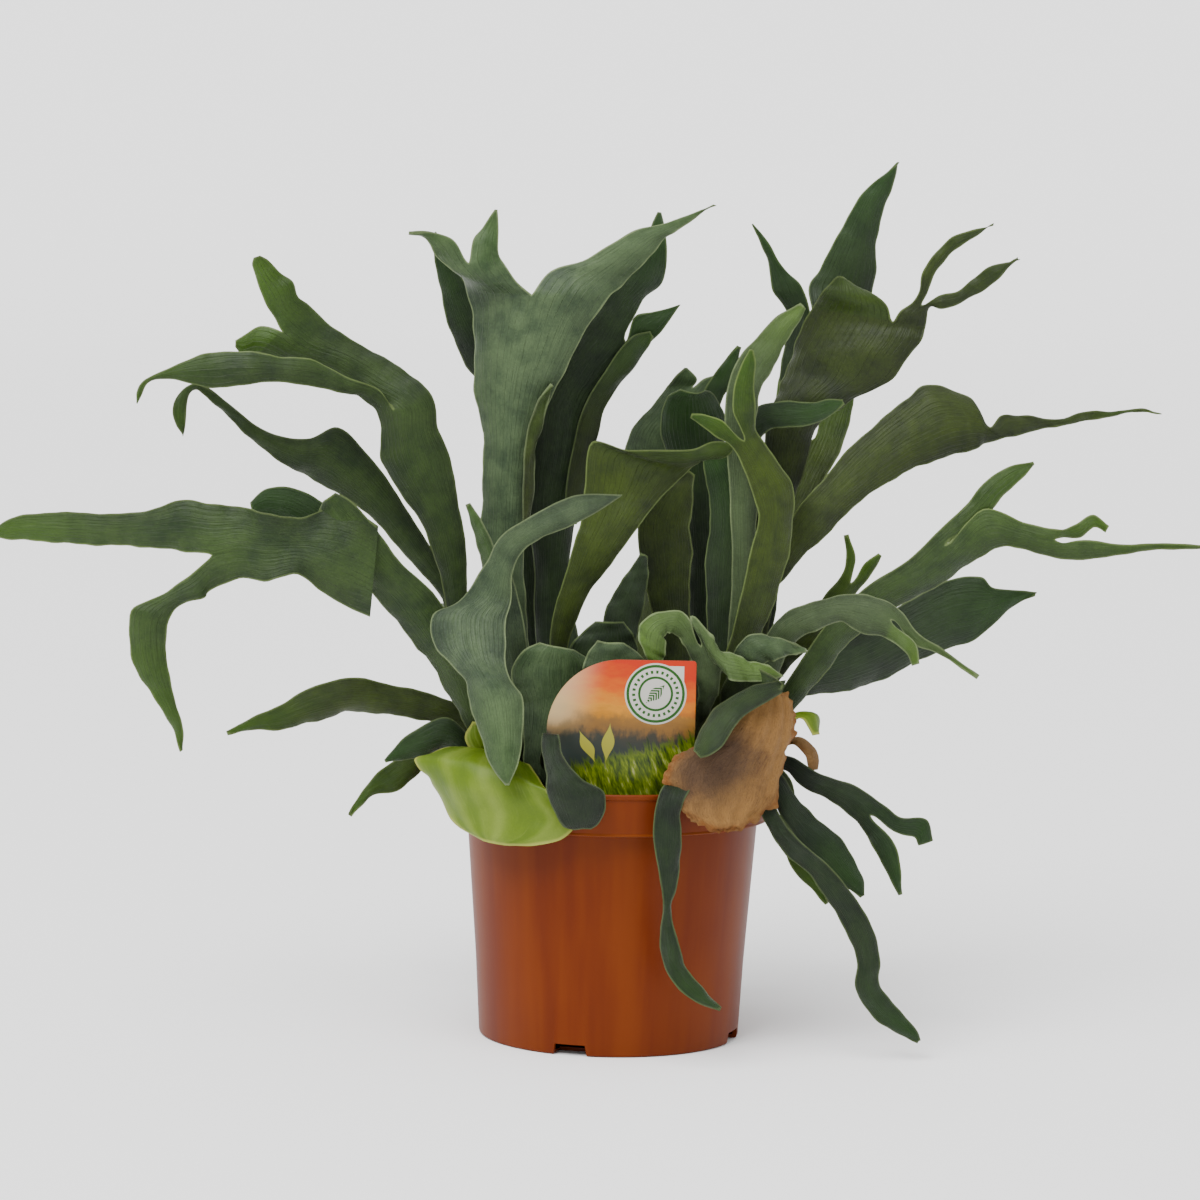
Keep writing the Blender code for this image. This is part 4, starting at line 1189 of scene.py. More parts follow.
    def mark(self, piece: bpy.types.Object, middle: np.ndarray, values: dict[str, np.ndarray],
             normals: np.ndarray, turned: bool) -> None:
        """Store what the finish reads at each point of both faces.

        Args:
            piece: the leaf.
            middle: the sheet's points, in metres.
            values: numbers for each point of the sheet, by name.
            normals: the sheet's normals.
            turned: True where the face that the sheet calls its front is its underside.
        """
        mesh = piece.data
        count = len(middle)
        place = np.zeros(len(mesh.vertices) * 3)
        mesh.vertices.foreach_get("co", place)
        place = place.reshape(-1, 3)
        first_out = float(((place[:count] - middle) * normals).sum()) > 0.0
        under = np.zeros(len(place))
        under[count:] = 1.0 if first_out != turned else 0.0
        under[:count] = 1.0 - under[-1]
        values = {key: np.concatenate([v, v]) for key, v in values.items()}
        values["under"] = under
        for key, value in values.items():
            layer = mesh.attributes.new(key, "FLOAT", "POINT")
            layer.data.foreach_set("value", value.astype(np.float32))


@dataclass
class Bunch:
    """Leaves that one grower grows together."""

    grower: Grower


class LeftFronds(Bunch):
    """Fronds that lean to the left."""

    def build(self) -> None:
        """Grow them all."""
        grow = self.grower.frond
        long_lobe = Segment(
            [pair(-219, 252, -220, 279, -50), pair(-237, 254, -237, 273, -46), pair(-255, 254, -256, 270, -42),
             pair(-273, 254, -274, 270, -38), pair(-294, 255, -295, 269, -34), pair(-309, 255, -309, 266, -31),
             pair(-319, 257, -319, 260, -30)])
        down_lobe = Segment(
            [pair(-208, 230, -217, 240, -55), pair(-219, 227, -231, 231, -58), pair(-226, 218, -245, 223, -60),
             pair(-227, 203, -246, 205, -60), pair(-225, 189, -241, 190, -60), pair(-221, 174, -231, 176, -60),
             pair(-218, 162, -224, 162, -58), pair(-218, 152, -220, 151, -57)])
        blade = Segment(
            [pair(-124, 223, -121, 268, -64, -52, 14), pair(-137, 228, -133, 275, -62, -53, 20),
             pair(-151, 236, -148, 276, -60, -54, 26), pair(-161, 243, -161, 271, -56, -54, -28),
             pair(-176, 239, -177, 274, -56, -54, -26), pair(-191, 240, -191, 276, -56, -52, 20),
             pair(-205, 234, -206, 277, -56, -52)],
            [-0.2], [down_lobe, long_lobe])
        grow("frond_left_long", "left", Segment(
            [(-72, -30, 168, 7), (-85, -38, 198, 11), pair(-119, 226, -91, 230, -44), pair(-134, 245, -111, 250, -50),
             pair(-148, 263, -124, 268, -52), pair(-152, 273, -137, 281, -52), pair(-150, 279, -143, 284, -52)],
            roll=20, curl=30), Look.MOSS, tip=0.7, tone=-0.12, strips=[blade], wave=1.4)
        grow("frond_left_behind", "left", Segment(
            [(-76, -14, 176, 5), (-98, -20, 214, 6), (-124, -24, 244, 8), (-148, -27, 262, 10), (-165, -28, 272, 11),
             (-179, -28, 275, 8), (-187, -28, 273, 3)], curl=35), Look.DARK)
        side = Segment([pair(-192, 349, -186, 364, 12), pair(-196, 349, -194, 359, 12), pair(-199, 353, -199, 356, 12)])
        tip = Segment([pair(-179, 368, -167, 379, 11), pair(-184, 377, -170, 387, 11), pair(-188, 386, -177, 392, 12),
                       pair(-191, 395, -183, 398, 13), pair(-190, 399, -187, 400, 13)])
        upper = Segment(
            [pair(-139, 333, -109, 341, 6), pair(-157, 343, -128, 352, 9, curl=28),
             pair(-175, 346, -148, 363, 10, curl=28),
             pair(-186, 350, -161, 375, 10, curl=26)], [-0.1], [side, tip])
        left = Segment(
            [pair(-134, 328, -124, 333, -2), pair(-142, 331, -139, 339, -6), pair(-154, 334, -156, 348, -10, -8, 26),
             pair(-175, 337, -175, 350, -13, -11, 26), pair(-195, 335, -192, 352, -14, -12, 26),
             pair(-209, 333, -211, 351, -14, -12, 28), pair(-224, 336, -225, 346, -14), pair(-235, 337, -237, 340, -14),
             pair(-242, 335, -244, 336, -13), pair(-245, 328, -248, 330, -12), pair(-247, 324, -248, 325, -12)])
        grow("frond_left_high", "left", Segment(
            [(-72, 2, 180, 7), pair(-88, 222, -77, 227, 4), pair(-94, 245, -78, 250, 4), pair(-102, 265, -82, 272, 4),
             pair(-115, 282, -85, 288, 4, 2), pair(-123, 295, -88, 300, 4, 1, 30), pair(-124, 308, -94, 313, 3, 0, 34),
             pair(-126, 321, -96, 327, 2, 0, 34)], [-0.35], [left, upper], curl=30),
            Look.MOSS, tip=1.0, tone=-0.28, sheet=Sheet(sinus_turn=0.15))
        grow("frond_left_middle", "left", Segment(
            [(-76, 20, 178, 6), pair(-91, 222, -86, 226, 28), pair(-110, 244, -98, 250, 28),
             pair(-122, 258, -108, 265, 28),
             pair(-134, 269, -117, 279, 28), pair(-148, 277, -130, 296, 28, 26), pair(-160, 283, -146, 310, 28, 24, 34),
             pair(-170, 289, -160, 305, 24, 22), pair(-183, 298, -175, 306, 20), pair(-194, 308, -188, 312, 15),
             pair(-205, 319, -200, 322, 10), pair(-214, 328, -211, 331, 5), pair(-218, 331, -219, 334, 2),
             pair(-222, 328, -228, 328, 0), pair(-223, 318, -230, 319, -1), pair(-223, 311, -228, 313, -2),
             pair(-224, 307, -225, 308, -2)], curl=28), Look.MOSS, tone=-0.26)
        grow("frond_left_low", "left", Segment(
            [(-77, -8, 163, 5), (-92, -10, 169, 6.5), (-111, -14, 173, 8), (-135, -18, 175, 10, 20, 50),
             (-154, -22, 171, 9, 15, 45), (-172, -26, 165, 5.5), (-186, -30, 162, 2.8), (-198, -33, 158, 1)],
            curl=35), Look.OLIVE)
        grow("frond_left_small_upper", "left", Segment(
            [(-77, -24, 151, 6), (-87, -27, 157, 9.5, 20, 50), (-99, -29, 153, 7.5, 15, 45), (-109, -31, 149, 4.5),
             (-117, -33, 145, 1)], curl=40), Look.DARK)
        grow("frond_left_small_lower", "left", Segment(
            [(-76, 2, 146, 4), (-92, 0, 147, 5), (-105, -8, 139, 6.5), (-116, -14, 132, 6.5), (-124, -18, 128, 3.4),
             (-131, -22, 121, 2), (-135, -24, 115, 1)], curl=30), Look.OLIVE)


class CentreFronds(Bunch):
    """The tall middle fronds."""

    def build(self) -> None:
        """Grow them all."""
        grow = self.grower.frond
        far_left = Segment([pair(-99, 407, -87, 410, 4), pair(-104, 412, -98, 414, 2), pair(-110, 413, -110, 414, 0)])
        near_left = Segment([pair(-77, 411, -64, 406, 10), pair(-72, 418, -64, 417, 12), pair(-66, 426, -65, 426, 12)])
        left = Segment([pair(-85, 390, -55, 388, 10), pair(-94, 399, -61, 398, 8)], [-0.1], [far_left, near_left])
        right = Segment(
            [pair(-37, 394, 1, 388, 16), pair(-21, 400, 11, 400, 14), pair(-6, 409, 17, 407, 13),
             pair(6, 416, 23, 413, 12), pair(24, 422, 30, 418, 12), pair(46, 430, 47, 431, 12)])
        rolled = Segment(
            [pair(-46, 260, -49, 260, 8, 6, -20), pair(-43, 285, -49, 285, 10, 6, -20),
             pair(-42, 305, -48, 306, 12, 7, -20),
             pair(-38, 325, -43, 327, 12, 9, -20), pair(-34, 335, -36, 337, 13, 11, -20)])
        grow("frond_centre_broad", "left", Segment(
            [(-50, 6, 173, 6), (-54, 9, 204, 9), pair(-70, 238, -48, 238, 8, curl=35),
             pair(-71, 266, -46, 266, 10, curl=38),
             pair(-70, 301, -44, 301, 12, curl=36), pair(-76, 332, -34, 334, 14, 10, 34),
             pair(-77, 352, -26, 352, 16, 8, 34), pair(-78, 370, -17, 370, 18, 8, 32),
             pair(-82, 382, -7, 383, 18, 8, 28)],
            [-0.05], [left, right], curl=32), Look.GREY, wave=1.6, wavelength=38.0, tip=0.3, tone=0.03, strips=[rolled])
        upper = Segment([pair(-8, 379, 11, 377, 40, 46), pair(3, 393, 22, 388, 40, 48), pair(12, 409, 23, 405, 44),
                         pair(15, 418, 22, 417, 46), pair(18, 425, 20, 425, 48)])
        side = Segment([pair(7, 370, 20, 361, 46), pair(16, 373, 25, 368, 46), pair(29, 377, 31, 377, 48)])
        rolled = Segment(
            [pair(-21, 262, -26, 262, 34, 30, -20), pair(-17, 280, -27, 280, 38, 32, -20),
             pair(-12, 300, -24, 300, 38, 33, -20),
             pair(-7, 322, -18, 324, 40, 34, -20), pair(6, 341, -6, 344, 43, 36, -20),
             pair(14, 354, 6, 360, 46, 40, -20),
             pair(17, 360, 15, 363, 46)])
        grow("frond_centre_dark", "centre", Segment(
            [(-28, 20, 174, 6), (-34, 28, 202, 8), (-34, 32, 238, 9), pair(-46, 273, -19, 273, 26, 40, 30),
             pair(-44, 298, -14, 297, 26, 42, 30), pair(-42, 322, -9, 322, 26, 44, 30),
             pair(-34, 342, 4, 341, 30, 46, 28), pair(-20, 362, 14, 355, 36, 48, 24)], [0.3], [upper, side],
            curl=30), Look.DARK, wave=1.2, wavelength=44.0, strips=[rolled])
        grow("frond_centre_left_dark", "centre", Segment(
            [(-34, 22, 160, 5), (-44, 42, 198, 7), (-50, 54, 250, 8), (-52, 60, 301, 9), (-58, 63, 328, 10),
             (-71, 63, 348, 12), (-82, 61, 366, 9.5), (-89, 59, 384, 7), (-94, 56, 398, 4.5), (-99, 52, 412, 1.5)],
            curl=30), Look.DARK)
        grow("frond_left_inner_small", "left", Segment(
            [(-59, -18, 178, 4), (-62, -12, 210, 4), (-63, -12, 236, 4.5), (-68, -12, 254, 4.5), (-73, -12, 266, 3.5),
             (-77, -12, 276, 1)], roll=20, curl=20), Look.GREY)
        blade = Segment(
            [pair(1, 285, 2, 286, -56), pair(-12, 276, -18, 286, -57), pair(-27, 268, -28, 283, -58),
             pair(-39, 263, -45, 274, -59), pair(-48, 256, -60, 263, -58, -56), pair(-53, 245, -67, 250, -58, -56, 28),
             pair(-53, 233, -78, 233, -60, -58, 24), pair(-56, 223, -93, 225, -66, -60, 20),
             pair(-56, 213, -92, 210, -74, -66, 24), pair(-56, 204, -85, 203, -80, -73, 26),
             pair(-53, 195, -76, 194, -84, -78, 28), pair(-47, 187, -74, 186, -87, -82, 30),
             pair(-46, 169, -69, 171, -91, -87, 30), pair(-48, 154, -63, 154, -94, -91, 26),
             pair(-52, 143, -54, 143, -96)])
        grow("frond_front_folded", "left", Segment(
            [(-46, -34, 160, 5), (-49, -40, 188, 6), (-54, -46, 214, 8), (-59, -50, 236, 8), (-60, -52, 250, 4)],
            curl=15), Look.GREY, strips=[blade], tip=0.25, wave=0.8)
        grow("frond_centre_olive", "centre", Segment(
            [(-28, -8, 170, 5.5), pair(-34, 200, -25, 200, -10), pair(-32, 221, -17, 225, -12),
             pair(-28, 235, -7, 241, -13), pair(-23, 254, 1, 252, -14), pair(-19, 268, 14, 270, -14),
             pair(-17, 286, 27, 285, -14, -10), pair(-14, 307, 36, 292, -16, -10, 26),
             pair(4, 302, 43, 297, -20, -12, 24), pair(22, 304, 48, 299, -22, -14), pair(38, 306, 53, 301, -22, -16),
             pair(48, 311, 57, 305, -20), pair(61, 310, 62, 311, -18)], curl=25), Look.OLIVE, wave=0.7, tip=0.3)


class MiddleFronds(Bunch):
    """The cluster between the centre and the right."""

    def build(self) -> None:
        """Grow them all."""
        grow = self.grower.frond
        grow("frond_middle_underside", "middle", Segment(
            [(31, 10, 175, 6), (32, 12, 201, 8), (28, 13, 226, 11), (26, 13, 249, 14), (25, 13, 266, 13.5),
             (31, 13, 281, 9), (38, 13, 292, 2)], roll=15, curl=-25), Look.OLIVE, tone=-0.2, tip=0.0)
        grow("frond_middle_slate", "middle", Segment(
            [(43, -6, 165, 5), (52, -8, 182, 6), (54, -8, 207, 7), (55, -8, 229, 9), (57, -8, 251, 12),
             (59, -8, 268, 12), (56, -6, 287, 11), (50, -4, 300, 8), (44, -3, 306, 3)], roll=10, curl=20), Look.DARK)
        up = Segment([(63, -32, 328, 6), (63, -32, 341, 5), (65, -32, 352, 3.5), (66, -32, 359, 1)])
        left = Segment([(50, -35, 319, 4.5), (42, -36, 323, 3), (36, -36, 325, 1.2)])
        grow("frond_middle_front", "middle", Segment(
            [(45, -22, 166, 5), (56, -28, 186, 6), (65, -31, 208, 7), (73, -31, 234, 9), (78, -31, 255, 10),
             (81, -30, 273, 9), (79, -30, 287, 10.5), (72, -30, 300, 8.5), (64, -31, 313, 8)], [-0.1], [left, up],
            roll=-10, curl=25), Look.OLIVE)
        grow("frond_middle_round", "middle", Segment(
            [(38, 22, 165, 5), (44, 28, 204, 6), (45, 28, 244, 8), (43, 27, 276, 10), (40, 24, 302, 15),
             (38, 19, 317, 16.5), (37, 12, 329, 12), (37, 5, 334, 6)], curl=45), Look.DARK)
        spike = Segment([pair(29, 339, 40, 338, 50), pair(34, 344, 35, 344, 49)])
        side = Segment([pair(45, 338, 60, 339, 50), pair(63, 344, 64, 344, 48)])
        grow("frond_middle_pale", "middle", Segment(
            [(30, 34, 170, 5), (33, 44, 202, 6), (29, 52, 248, 9), pair(4, 284, 34, 284, 54),
             pair(5, 308, 37, 304, 54, 50),
             pair(16, 322, 49, 323, 52, 50), pair(25, 334, 55, 333, 52, 50)], [-0.1], [spike, side], curl=25),
            Look.GREY, tone=-0.15, tip=0.2)
        grow("frond_middle_narrow", "middle", Segment(
            [(46, 40, 170, 4.5), (54, 46, 230, 5), (50, 48, 280, 5), (46, 46, 316, 5), (49, 45, 330, 5),
             (56, 44, 343, 4.5), (62, 43, 356, 1)], curl=25), Look.DARK)
        grow("frond_middle_right_tip", "middle", Segment(
            [(38, 14, 166, 4), (54, 20, 210, 5), (62, 14, 262, 6), (63, 8, 296, 6), (66, 4, 313, 7),
             (74, 2, 322, 7), (86, 1, 324, 6.5), (99, 1, 325, 5.5), (108, 1, 328, 4), (115, 2, 331, 1)],
            roll=10, curl=30), Look.DARK)
        hanging = Segment(
            [pair(27, 217, 34, 227, -58), pair(25, 215, 21, 227, -60), pair(25, 212, 13, 222, -61),
             pair(25, 205, 11, 216, -61), pair(24, 202, 14, 208, -60), pair(23, 200, 17, 201, -59)])
        ribbon = Segment(
            [pair(37, 225, 46, 211, -60), pair(45, 218, 50, 201, -62, -58), pair(52, 210, 58, 195, -60, -66),
             pair(62, 206, 67, 194, -60, -66), pair(71, 203, 76, 194, -60, -64), pair(81, 199, 85, 196, -61)])
        grow("frond_curly_over_label", "middle", Segment(
            [(38, -38, 164, 5), pair(42, 181, 52, 182, -52), pair(39, 198, 54, 201, -56), pair(35, 210, 51, 210, -57)],
            [0.0], [hanging, ribbon], curl=25), Look.LIGHT, wave=1.5, wavelength=15.0, tip=0.5)
        over_shield = Segment(
            [pair(84, 189, 86, 195, -72, -68, 12), pair(78, 186, 76, 194, -76, -70), pair(66, 180, 66, 192, -84, -74),
             pair(60, 174, 52, 184, -88, -80), pair(54, 165, 44, 174, -92, -84), pair(48, 160, 40, 166, -93, -86),
             pair(43, 158, 40, 161, -92, -88)])
        grow("frond_curly_right", "right", Segment(
            [(59, -37, 175, 5), (62, -51, 190, 6), (70, -60, 194, 5.5), (79, -68, 193, 4), (84, -70, 192, 2)],
            roll=15, curl=-35), Look.MOSS, strips=[over_shield], tone=-0.3, tip=0.1)
        grow("frond_curly_grey", "right", Segment(
            [(62, -34, 184, 5.5), pair(60, 207, 72, 198, -50), pair(67, 215, 78, 202, -53),
             pair(77, 216, 84, 205, -53, -56),
             pair(87, 213, 90, 206, -54), pair(96, 210, 97, 208, -54)],
            curl=30), Look.GREY, wave=1.8, wavelength=16.0, tip=0.1)


class FrontFronds(Bunch):
    """Short fronds around the label and the one that hangs in front of the pot."""

    def build(self) -> None:
        """Grow them all."""
        grow = self.grower.frond
        grow("frond_front_wavy_left", "front", Segment(
            [pair(-44, 143, -28, 143, -50), pair(-46, 162, -19, 162, -50), pair(-47, 180, -9, 180, -52, -46, 26),
             pair(-51, 194, -7, 196, -58, -44, 30), pair(-46, 205, -11, 200, -58, -46, 24),
             pair(-38, 210, -21, 206, -56, -50)]), Look.GREY, wave=2.0, wavelength=24.0, tip=0.1, tone=0.12)
        grow("frond_front_wavy_right", "front", Segment(
            [(-8, -53, 152, 5), pair(-14, 180, 10, 180, -55), pair(-16, 196, 16, 196, -58, -56),
             pair(-14, 205, 12, 205, -59, -57), pair(-9, 212, 4, 211, -59)],
            curl=25), Look.GREY, wave=1.8, wavelength=18.0, tip=0.0, tone=0.05)
        grow("frond_front_dark_back", "front", Segment(
            [(-12, -42, 155, 5), pair(-20, 185, 8, 185, -42), pair(-24, 204, 12, 205, -43), pair(-18, 213, 9, 213, -43),
             pair(-11, 220, 4, 220, -43)], curl=30), Look.DARK, wave=1.6, wavelength=18.0, tip=0.0, tone=-0.1,
            strips=[Segment([pair(-10, 184, 8, 184, -38), pair(-8, 205, 10, 205, -30), pair(-5, 226, 14, 225, -28),
                             pair(3, 240, 16, 238, -28), pair(12, 254, 16, 252, -28)])])
        grow("frond_over_rim_round", "front", Segment(
            [(-34, -58, 150, 3.5), pair(-28, 168, -36, 168, -84, -80), pair(-26, 159, -37, 158, -92, -88),
             pair(-17, 148, -34, 148, -98, -95, 26), pair(-5, 141, -33, 139, -98, -99, 30),
             pair(-4, 132, -29, 130, -96, -98, 30), pair(-7, 124, -25, 124, -95, -96, 22),
             pair(-11, 121, -20, 122, -94)]), Look.DARK, wave=1.0, tip=0.0, tone=-0.3)
        grow("frond_hanging_front", "middle", Segment(
            [(40, -34, 146, 4.5), (42, -50, 147, 4.5), (41, -66, 147, 4.5), (36, -79, 145, 5), (30, -87, 139, 6.5),
             (28, -90, 130, 7), (28, -92, 116, 7.5), (29, -93, 98, 5), (28, -93, 83, 2.0), (30, -93, 59, 5.5, -25),
             (36, -93, 47, 5), (45, -93, 38, 4), (56, -93, 31, 1)], across=(1.0, 0.25, 0.0), curl=-25),
            Look.DARK, tone=-0.2, turned=True)


class RightFronds(Bunch):
    """Fronds that lean to the right."""

    def build(self) -> None:
        """Grow them all."""
        grow = self.grower.frond
        round_top = Segment([pair(103, 385, 136, 380, 22, 16), pair(108, 391, 127, 388, 22, 18),
                             pair(112, 395, 118, 393, 22)])
        up_tip = Segment([pair(153, 388, 158, 387, 14), pair(155, 398, 160, 395, 14), pair(161, 408, 166, 403, 13),
                          pair(169, 416, 173, 411, 12), pair(180, 420, 182, 417, 11), pair(190, 423, 191, 423, 10)])
        side_tip = Segment([pair(163, 386, 166, 379, 12), pair(172, 388, 176, 383, 11), pair(180, 395, 187, 389, 9),
                            pair(190, 402, 196, 398, 8), pair(203, 405, 204, 406, 8)])
        right = Segment([pair(144, 377, 158, 374, 16), pair(150, 382, 160, 379, 15)], [0.0], [up_tip, side_tip])
        grow("frond_right_folded", "right", Segment(
            [(69, 8, 184, 6), (74, 14, 226, 7), (79, 18, 262, 8), pair(75, 292, 95, 289, 18),
             pair(76, 313, 104, 318, 20, curl=30), pair(79, 329, 117, 330, 24, 14, 34),
             pair(83, 341, 136, 342, 28, 10, 34), pair(86, 355, 146, 356, 30, 8, 32),
             pair(91, 366, 153, 364, 30, 10, 26), pair(97, 377, 156, 370, 28, 14, 22)],
            [0.45], [round_top, right], curl=30), Look.OLIVE, wave=1.6, wavelength=28.0, tip=0.25, tone=-0.36)
        thin = Segment([pair(79, 385, 94, 388, 52), pair(76, 400, 83, 399, 52), pair(71, 412, 75, 412, 50),
                        pair(67, 419, 68, 420, 48)])
        tall = Segment(
            [pair(98, 387, 131, 384, 54, curl=30), pair(103, 396, 133, 398, 54, curl=30),
             pair(111, 411, 133, 410, 54, curl=30),
             pair(119, 427, 136, 426, 54), pair(127, 439, 140, 438, 54), pair(140, 450, 143, 451, 54),
             pair(143, 453, 144, 453, 54)])
        grow("frond_right_tall", "right", Segment(
            [(72, 24, 178, 5), (77, 36, 212, 6), (83, 46, 263, 7), (88, 50, 310, 8), (96, 52, 345, 12),
             pair(87, 372, 129, 374, 52)], [-0.4], [thin, tall], roll=5, curl=30), Look.DARK,
            sheet=Sheet(sinus_turn=0.3))
        grow("frond_right_strap", "right", Segment(
            [(61, -16, 190, 4.5), (63, -19, 216, 5), (65, -19, 245, 6), (64, -19, 287, 7), (62, -19, 315, 7.5),
             (63, -16, 336, 8.5), (69, -12, 350, 9), (77, -8, 361, 7.5), (84, -6, 371, 5.5), (93, -4, 380, 2)],
            roll=-10, curl=30), Look.LIGHT)
        grow("frond_right_arching", "right", Segment(
            [(70, -6, 186, 5), pair(70, 228, 78, 226, -6), pair(80, 251, 94, 249, -6), pair(91, 274, 110, 265, -6),
             pair(104, 289, 123, 279, -4), pair(118, 306, 139, 290, 0), pair(135, 322, 153, 298, 4, 2, 34),
             pair(148, 333, 165, 302, 6, 4, 38), pair(157, 340, 175, 305, 8, 4, 38),
             pair(169, 339, 184, 308, 10, 4, 36),
             pair(182, 334, 189, 310, 10, 6, 30), pair(186, 325, 194, 311, 10), pair(191, 318, 200, 313, 10),
             pair(197, 325, 207, 315, 11, 9), pair(209, 325, 219, 318, 12), pair(225, 323, 229, 320, 14),
             pair(242, 327, 246, 323, 17), pair(260, 328, 262, 326, 19), pair(271, 329, 271, 327, 20),
             pair(280, 327, 281, 326, 20)], curl=26), Look.OLIVE, wave=1.2, tone=-0.22)
        up_lobe = Segment([(182, -14, 276, 5.5), (192, -14, 288, 6), (202, -12, 296, 5), (213, -10, 302, 1)])
        hook = Segment([(236, -14, 268, 3.5), (244, -12, 273, 3), (251, -14, 269, 2)])
        trail = Segment([(241, -22, 259, 5), (260, -24, 260, 2.2), (278, -26, 262, 1.6), (299, -28, 262, 1)])
        main = Segment([(190, -18, 268, 10.5), (206, -20, 266, 6.5),
        (223, -22, 262, 7)], [-0.3], [hook, trail], curl=30)
        grow("frond_right_long", "right", Segment(
            [(84, -12, 170, 5), (97, -14, 188, 6.5), (115, -15, 213, 8), (135, -16, 231, 9), (155, -16, 243, 10),
             (171, -16, 256, 12)], [-0.4], [up_lobe, main], roll=-15, curl=30), Look.MOSS, tone=-0.1)
        grow("frond_right_dark", "right", Segment(
            [(82, 2, 163, 5), pair(102, 192, 96, 176, 8), pair(122, 206, 117, 178, 16),
             pair(146, 220, 139, 183, 26, curl=26),
             pair(161, 229, 157, 192, 29, curl=26), pair(177, 237, 173, 199, 31, curl=26),
             pair(191, 238, 188, 204, 32), pair(197, 233, 200, 216, 32), pair(207, 232, 208, 223, 32),
             pair(220, 231, 219, 229, 32)], curl=25), Look.DARK)
        left_tip = Segment([(121, 4, 249, 2.5), (118, 4, 262, 1)])
        right_tip = Segment([(130, 4, 245, 3), (136, 4, 252, 1)])
        grow("frond_right_forked_small", "right", Segment(
            [(73, 16, 172, 4), (88, 18, 194, 4.5), (103, 12, 211, 5), (113, 6, 227, 6), (121, 4, 237, 6)],
            [0.0], [left_tip, right_tip], curl=20), Look.OLIVE)
        thin_tip = Segment([(152, -50, 215, 3), (164, -50, 209, 1.8), (184, -50, 196, 1)])
        short_tip = Segment([(149, -52, 211, 3.5), (152, -53, 202, 2)])
        grow("frond_right_light", "right", Segment(
            [(74, -24, 178, 5.5), (80, -33, 204, 7), (87, -40, 217, 8), (98, -44, 224, 7.5), (113, -46, 229, 7),
             (127, -48, 227, 10),
             (139, -48, 223, 8.5)], [-0.1], [thin_tip, short_tip], roll=10, curl=40), Look.LIGHT, tone=-0.1)


class HangingFronds(Bunch):
    """Fronds that hang over the right side of the rim."""

    def build(self) -> None:
        """Grow them all."""
        grow = self.grower.frond
        down = Segment([(139, -38, 107, 5), (144, -40, 95, 3.8), (148, -42, 82, 1)])
        out = Segment([(146, -34, 117, 4), (158, -32, 115, 5.5), (161, -31, 107, 4)])
        grow("frond_hanging_upper", "right", Segment(
            [(80, -20, 146, 4), (90, -26, 146, 4), (99, -30, 140, 5), (108, -32, 136, 5.5), (122, -35, 130, 7),
             (132, -36, 122, 8)], [0.0], [out, down], curl=30), Look.DARK, tone=-0.2)
        grow("frond_hanging_middle", "right", Segment(
            [(77, -33, 144, 4.5), (84, -41, 138, 5), (90, -45, 127, 6), (98, -49, 118, 7), (108, -52, 109, 8.5),
             (117, -54, 98, 8), (124, -55, 90, 5), (128, -55, 83, 1.2)], roll=15, curl=30), Look.DARK, tone=-0.2)
        grow("frond_hanging_long", "right", Segment(
            [(66, -38, 144, 4), (73, -50, 141, 4), (78, -54, 129, 4), (85, -60, 116, 4.5), (93, -67, 108, 5),
             (102, -70, 101, 5),
             (112, -72, 90, 6), (121, -71, 77, 6.5), (128, -70, 64, 6.5), (131, -69, 51, 5.5), (131, -68, 39, 6),
             (138, -66, 28, 6), (147, -64, 20, 5), (155, -63, 13, 3), (158, -62, 10, 1)], curl=25), Look.DARK,
            tone=-0.2)
        grow("frond_hanging_inner", "right", Segment(
            [(79, -25, 144, 4), (87, -32, 138, 4), (90, -37, 124, 4), (91, -42, 108, 4), (97, -46, 95, 4),
             (105, -48, 86, 3), (110, -50, 78, 1)], curl=20), Look.OLIVE)


class BackFronds(Bunch):
    """Fronds behind, which fill the plant out from the other sides."""

    def build(self) -> None:
        """Grow them all."""
        grow = self.grower.frond
        left = Segment([(-60, 132, 338, 8), (-66, 140, 358, 1.5)])
        right = Segment([(-38, 132, 338, 8), (-34, 140, 356, 1.5)])
        grow("frond_back_left_tall", "back", Segment(
            [(-12, 66, 160, 5), (-30, 84, 205, 8), (-42, 102, 255, 11), (-48, 118, 300, 15), (-49, 124, 318, 17)],
            [0.0], [left, right], curl=-30), Look.GREY)
        left = Segment([(92, 124, 320, 8), (90, 134, 344, 1.5)])
        right = Segment([(118, 124, 318, 8), (126, 132, 336, 1.5)])
        grow("frond_back_right_tall", "back", Segment(
            [(26, 66, 158, 5), (54, 82, 200, 8), (82, 98, 250, 11), (98, 112, 288, 15), (104, 116, 302, 16)],
            [0.0], [left, right], curl=-30), Look.OLIVE)
        left = Segment([(28, 178, 242, 8), (24, 196, 236, 1.5)])
        right = Segment([(52, 176, 238, 8), (62, 192, 226, 1.5)])
        grow("frond_back_arching", "back", Segment(
            [(8, 74, 158, 5), (14, 96, 195, 8), (24, 122, 226, 12), (34, 148, 241, 15), (38, 162, 243, 16)],
            [0.0], [left, right], across=(1.0, 0.0, 0.1), curl=25), Look.OLIVE)
        grow("frond_back_left_low", "centre", Segment(
            [(-34, 34, 152, 5), (-58, 64, 176, 8), (-78, 94, 198, 12), (-94, 122, 208, 12), (-106, 148, 204, 7),
             (-112, 164, 196, 1.5)], across=(0.75, 0.6, 0.1), curl=25), Look.GREY)
        grow("frond_back_hanging_right", "back", Segment(
            [(26, 72, 146, 5), (36, 90, 148, 7), (45, 106, 136, 9), (50, 113, 112, 10), (53, 113, 84, 8),
             (54, 109, 58, 1.5)], across=(1.0, -0.35, 0.0), curl=-25), Look.OLIVE)


